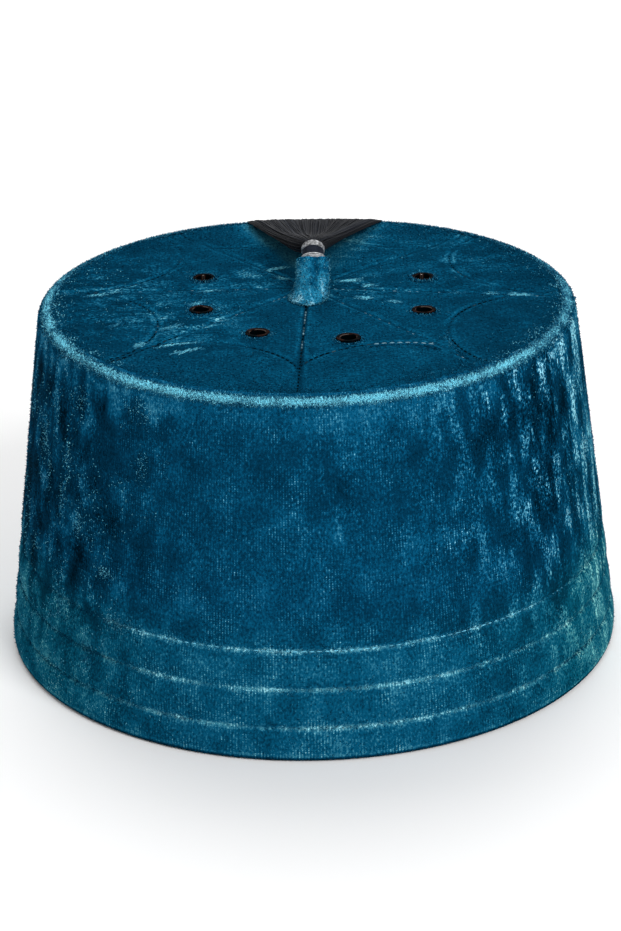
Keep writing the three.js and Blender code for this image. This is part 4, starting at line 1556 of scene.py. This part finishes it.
    def tip(self, crown, stitching, eyelet, rng):
        """Stray pile on the tip, with its open creases and the pile that stands round the eyelets."""
        parts = [self.stray(crown, rng)]
        parts += [self.crease(*fleck, rng) for fleck in TIP_FLECKS]
        parts += [self.surround(centre, eyelet, rng) for centre in EYELET_CENTRES]
        flat, leans, lengths, shades = (np.concatenate(part) for part in zip(*parts))
        leans[:, 2] = np.abs(leans[:, 2])
        to_eyelet = [np.hypot(*(flat - centre).T) for centre in EYELET_CENTRES]
        clear = np.min(to_eyelet, axis=0) > eyelet.flange
        roots = np.column_stack([flat, tip_height(crown, stitching, flat)])
        return pressed(crown, roots[clear]), leans[clear], lengths[clear], np.clip(shades[clear], 0, 1)

    def stray(self, crown, rng):
        """Single fibres all over the tip, more along its edge; there they are paler towards the sides,
        splayed pile with a painted highlight that fades out at the back.
        """
        count = TIP_FIBRES
        bearing = rng.uniform(-math.pi, math.pi, count)
        radius = crown.tip_edge * np.sqrt(rng.uniform(0, 1, count))
        radius[:EDGE_FIBRES] = crown.tip_edge - rng.exponential(0.0035, EDGE_FIBRES)
        flat = radius[:, None] * around(bearing)[:, :2]
        leans = rng.normal(0, 0.6, (count, 3)) + [0, 0, 0.4]
        lengths = rng.uniform(0.2, 0.5, count)
        glint = rng.uniform(0, 1, count)
        shades = 0.2 + rng.normal(0, 0.07, count) + 0.9 * (0.4 + tip_crush(flat)) * glint ** 5
        turned = from_front(flat)
        # Painted highlight on the splayed pile along the edge, fading out at the back.
        beside_rim = bell(radius - crown.tip_edge, 0.0055) * smoothstep(22, 55, turned)
        beside_rim *= 1 - 0.8 * smoothstep(85, 118, turned)
        clumps = np.clip(0.55 + 1.1 * soft_noise(level_points(flat), 0.006, 19), 0, 1)
        return flat, leans, lengths, shades + 0.75 * beside_rim * clumps * glint

    def crease(self, x, y, bearing, reach, bow, strength, rng):
        """Fibres laid open along a crease of the tip."""
        share = rng.uniform(-1, 1, FLECK_FIBRES)
        ahead, left = towards(bearing)
        beside = rng.normal(0, 0.0005, FLECK_FIBRES) + bow * (1 - share ** 2)
        flat = np.array([x, y]) + np.outer(share, ahead) * reach / 2 + np.outer(beside, left)
        leans = [*ahead, 0.2] + rng.normal(0, 0.2, (FLECK_FIBRES, 3))
        lengths = rng.uniform(0.5, 0.9, FLECK_FIBRES)
        fade = 1 - 0.5 * share ** 2
        return flat, leans, lengths, strength * fade * rng.uniform(0.6, 1.5, FLECK_FIBRES)

    def surround(self, centre, eyelet, rng):
        """Fibres that stand round an eyelet and lean over its flange."""
        outward = around(rng.uniform(-math.pi, math.pi, EYELET_FIBRES))
        gap = rng.exponential(0.0004, (EYELET_FIBRES, 1))
        flat = centre + (outward * (eyelet.flange + gap))[:, :2]
        leans = [0, 0, 0.8] - 0.5 * outward + rng.normal(0, 0.3, (EYELET_FIBRES, 3))
        reach = 1.4 if centre[1] > FAR_EYELETS else 0.8
        lengths = reach * rng.uniform(0.3, 0.7, EYELET_FIBRES)
        return flat, leans, lengths, 0.32 + 0.5 * rng.uniform(0, 1, EYELET_FIBRES) ** 3


class FEZ_PT_panel(bpy.types.Panel):
    """Lists the parts of the hat"""
    bl_idname = "FEZ_PT_panel"
    bl_label = "Velvet fez"
    bl_space_type = "VIEW_3D"
    bl_region_type = "UI"
    bl_category = "Fez"

    def draw(self, context):
        for operator in OPERATORS:
            self.layout.operator(operator.bl_idname)
        for name in GROUPS:
            box = self.layout.box()
            box.label(text=name)
            group = getattr(context.scene, name)
            for key in group.bl_rna.properties.keys():
                if key not in ("rna_type", "name"):
                    box.prop(group, key)


GROUPS = {
    "fez_crown": FezCrown,
    "fez_velvet": FezVelvet,
    "fez_stitching": FezStitching,
    "fez_eyelet": FezEyelet,
    "fez_tassel": FezTassel,
    "fez_stage": FezStage,
}
OPERATORS = [FEZ_OT_stage, FEZ_OT_side, FEZ_OT_tip, FEZ_OT_eyelets, FEZ_OT_stitches, FEZ_OT_stem,
             FEZ_OT_neck, FEZ_OT_tassel, FEZ_OT_pile]


def register():
    for group in GROUPS.values():
        bpy.utils.register_class(group)
    for name, group in GROUPS.items():
        setattr(bpy.types.Scene, name, PointerProperty(type=group))
    for operator in OPERATORS:
        bpy.utils.register_class(operator)
    bpy.utils.register_class(FEZ_PT_panel)


def unregister():
    bpy.utils.unregister_class(FEZ_PT_panel)
    for operator in reversed(OPERATORS):
        bpy.utils.unregister_class(operator)
    for name, group in reversed(GROUPS.items()):
        delattr(bpy.types.Scene, name)
        bpy.utils.unregister_class(group)


def main():
    """Builds the hat piece by piece."""
    register()
    bpy.ops.fez.stage()
    bpy.ops.fez.side()
    bpy.ops.fez.tip()
    bpy.ops.fez.eyelets()
    bpy.ops.fez.stitches()
    bpy.ops.fez.stem()
    bpy.ops.fez.neck()
    bpy.ops.fez.tassel()
    bpy.ops.fez.pile()


if __name__ == "__main__":
    main()
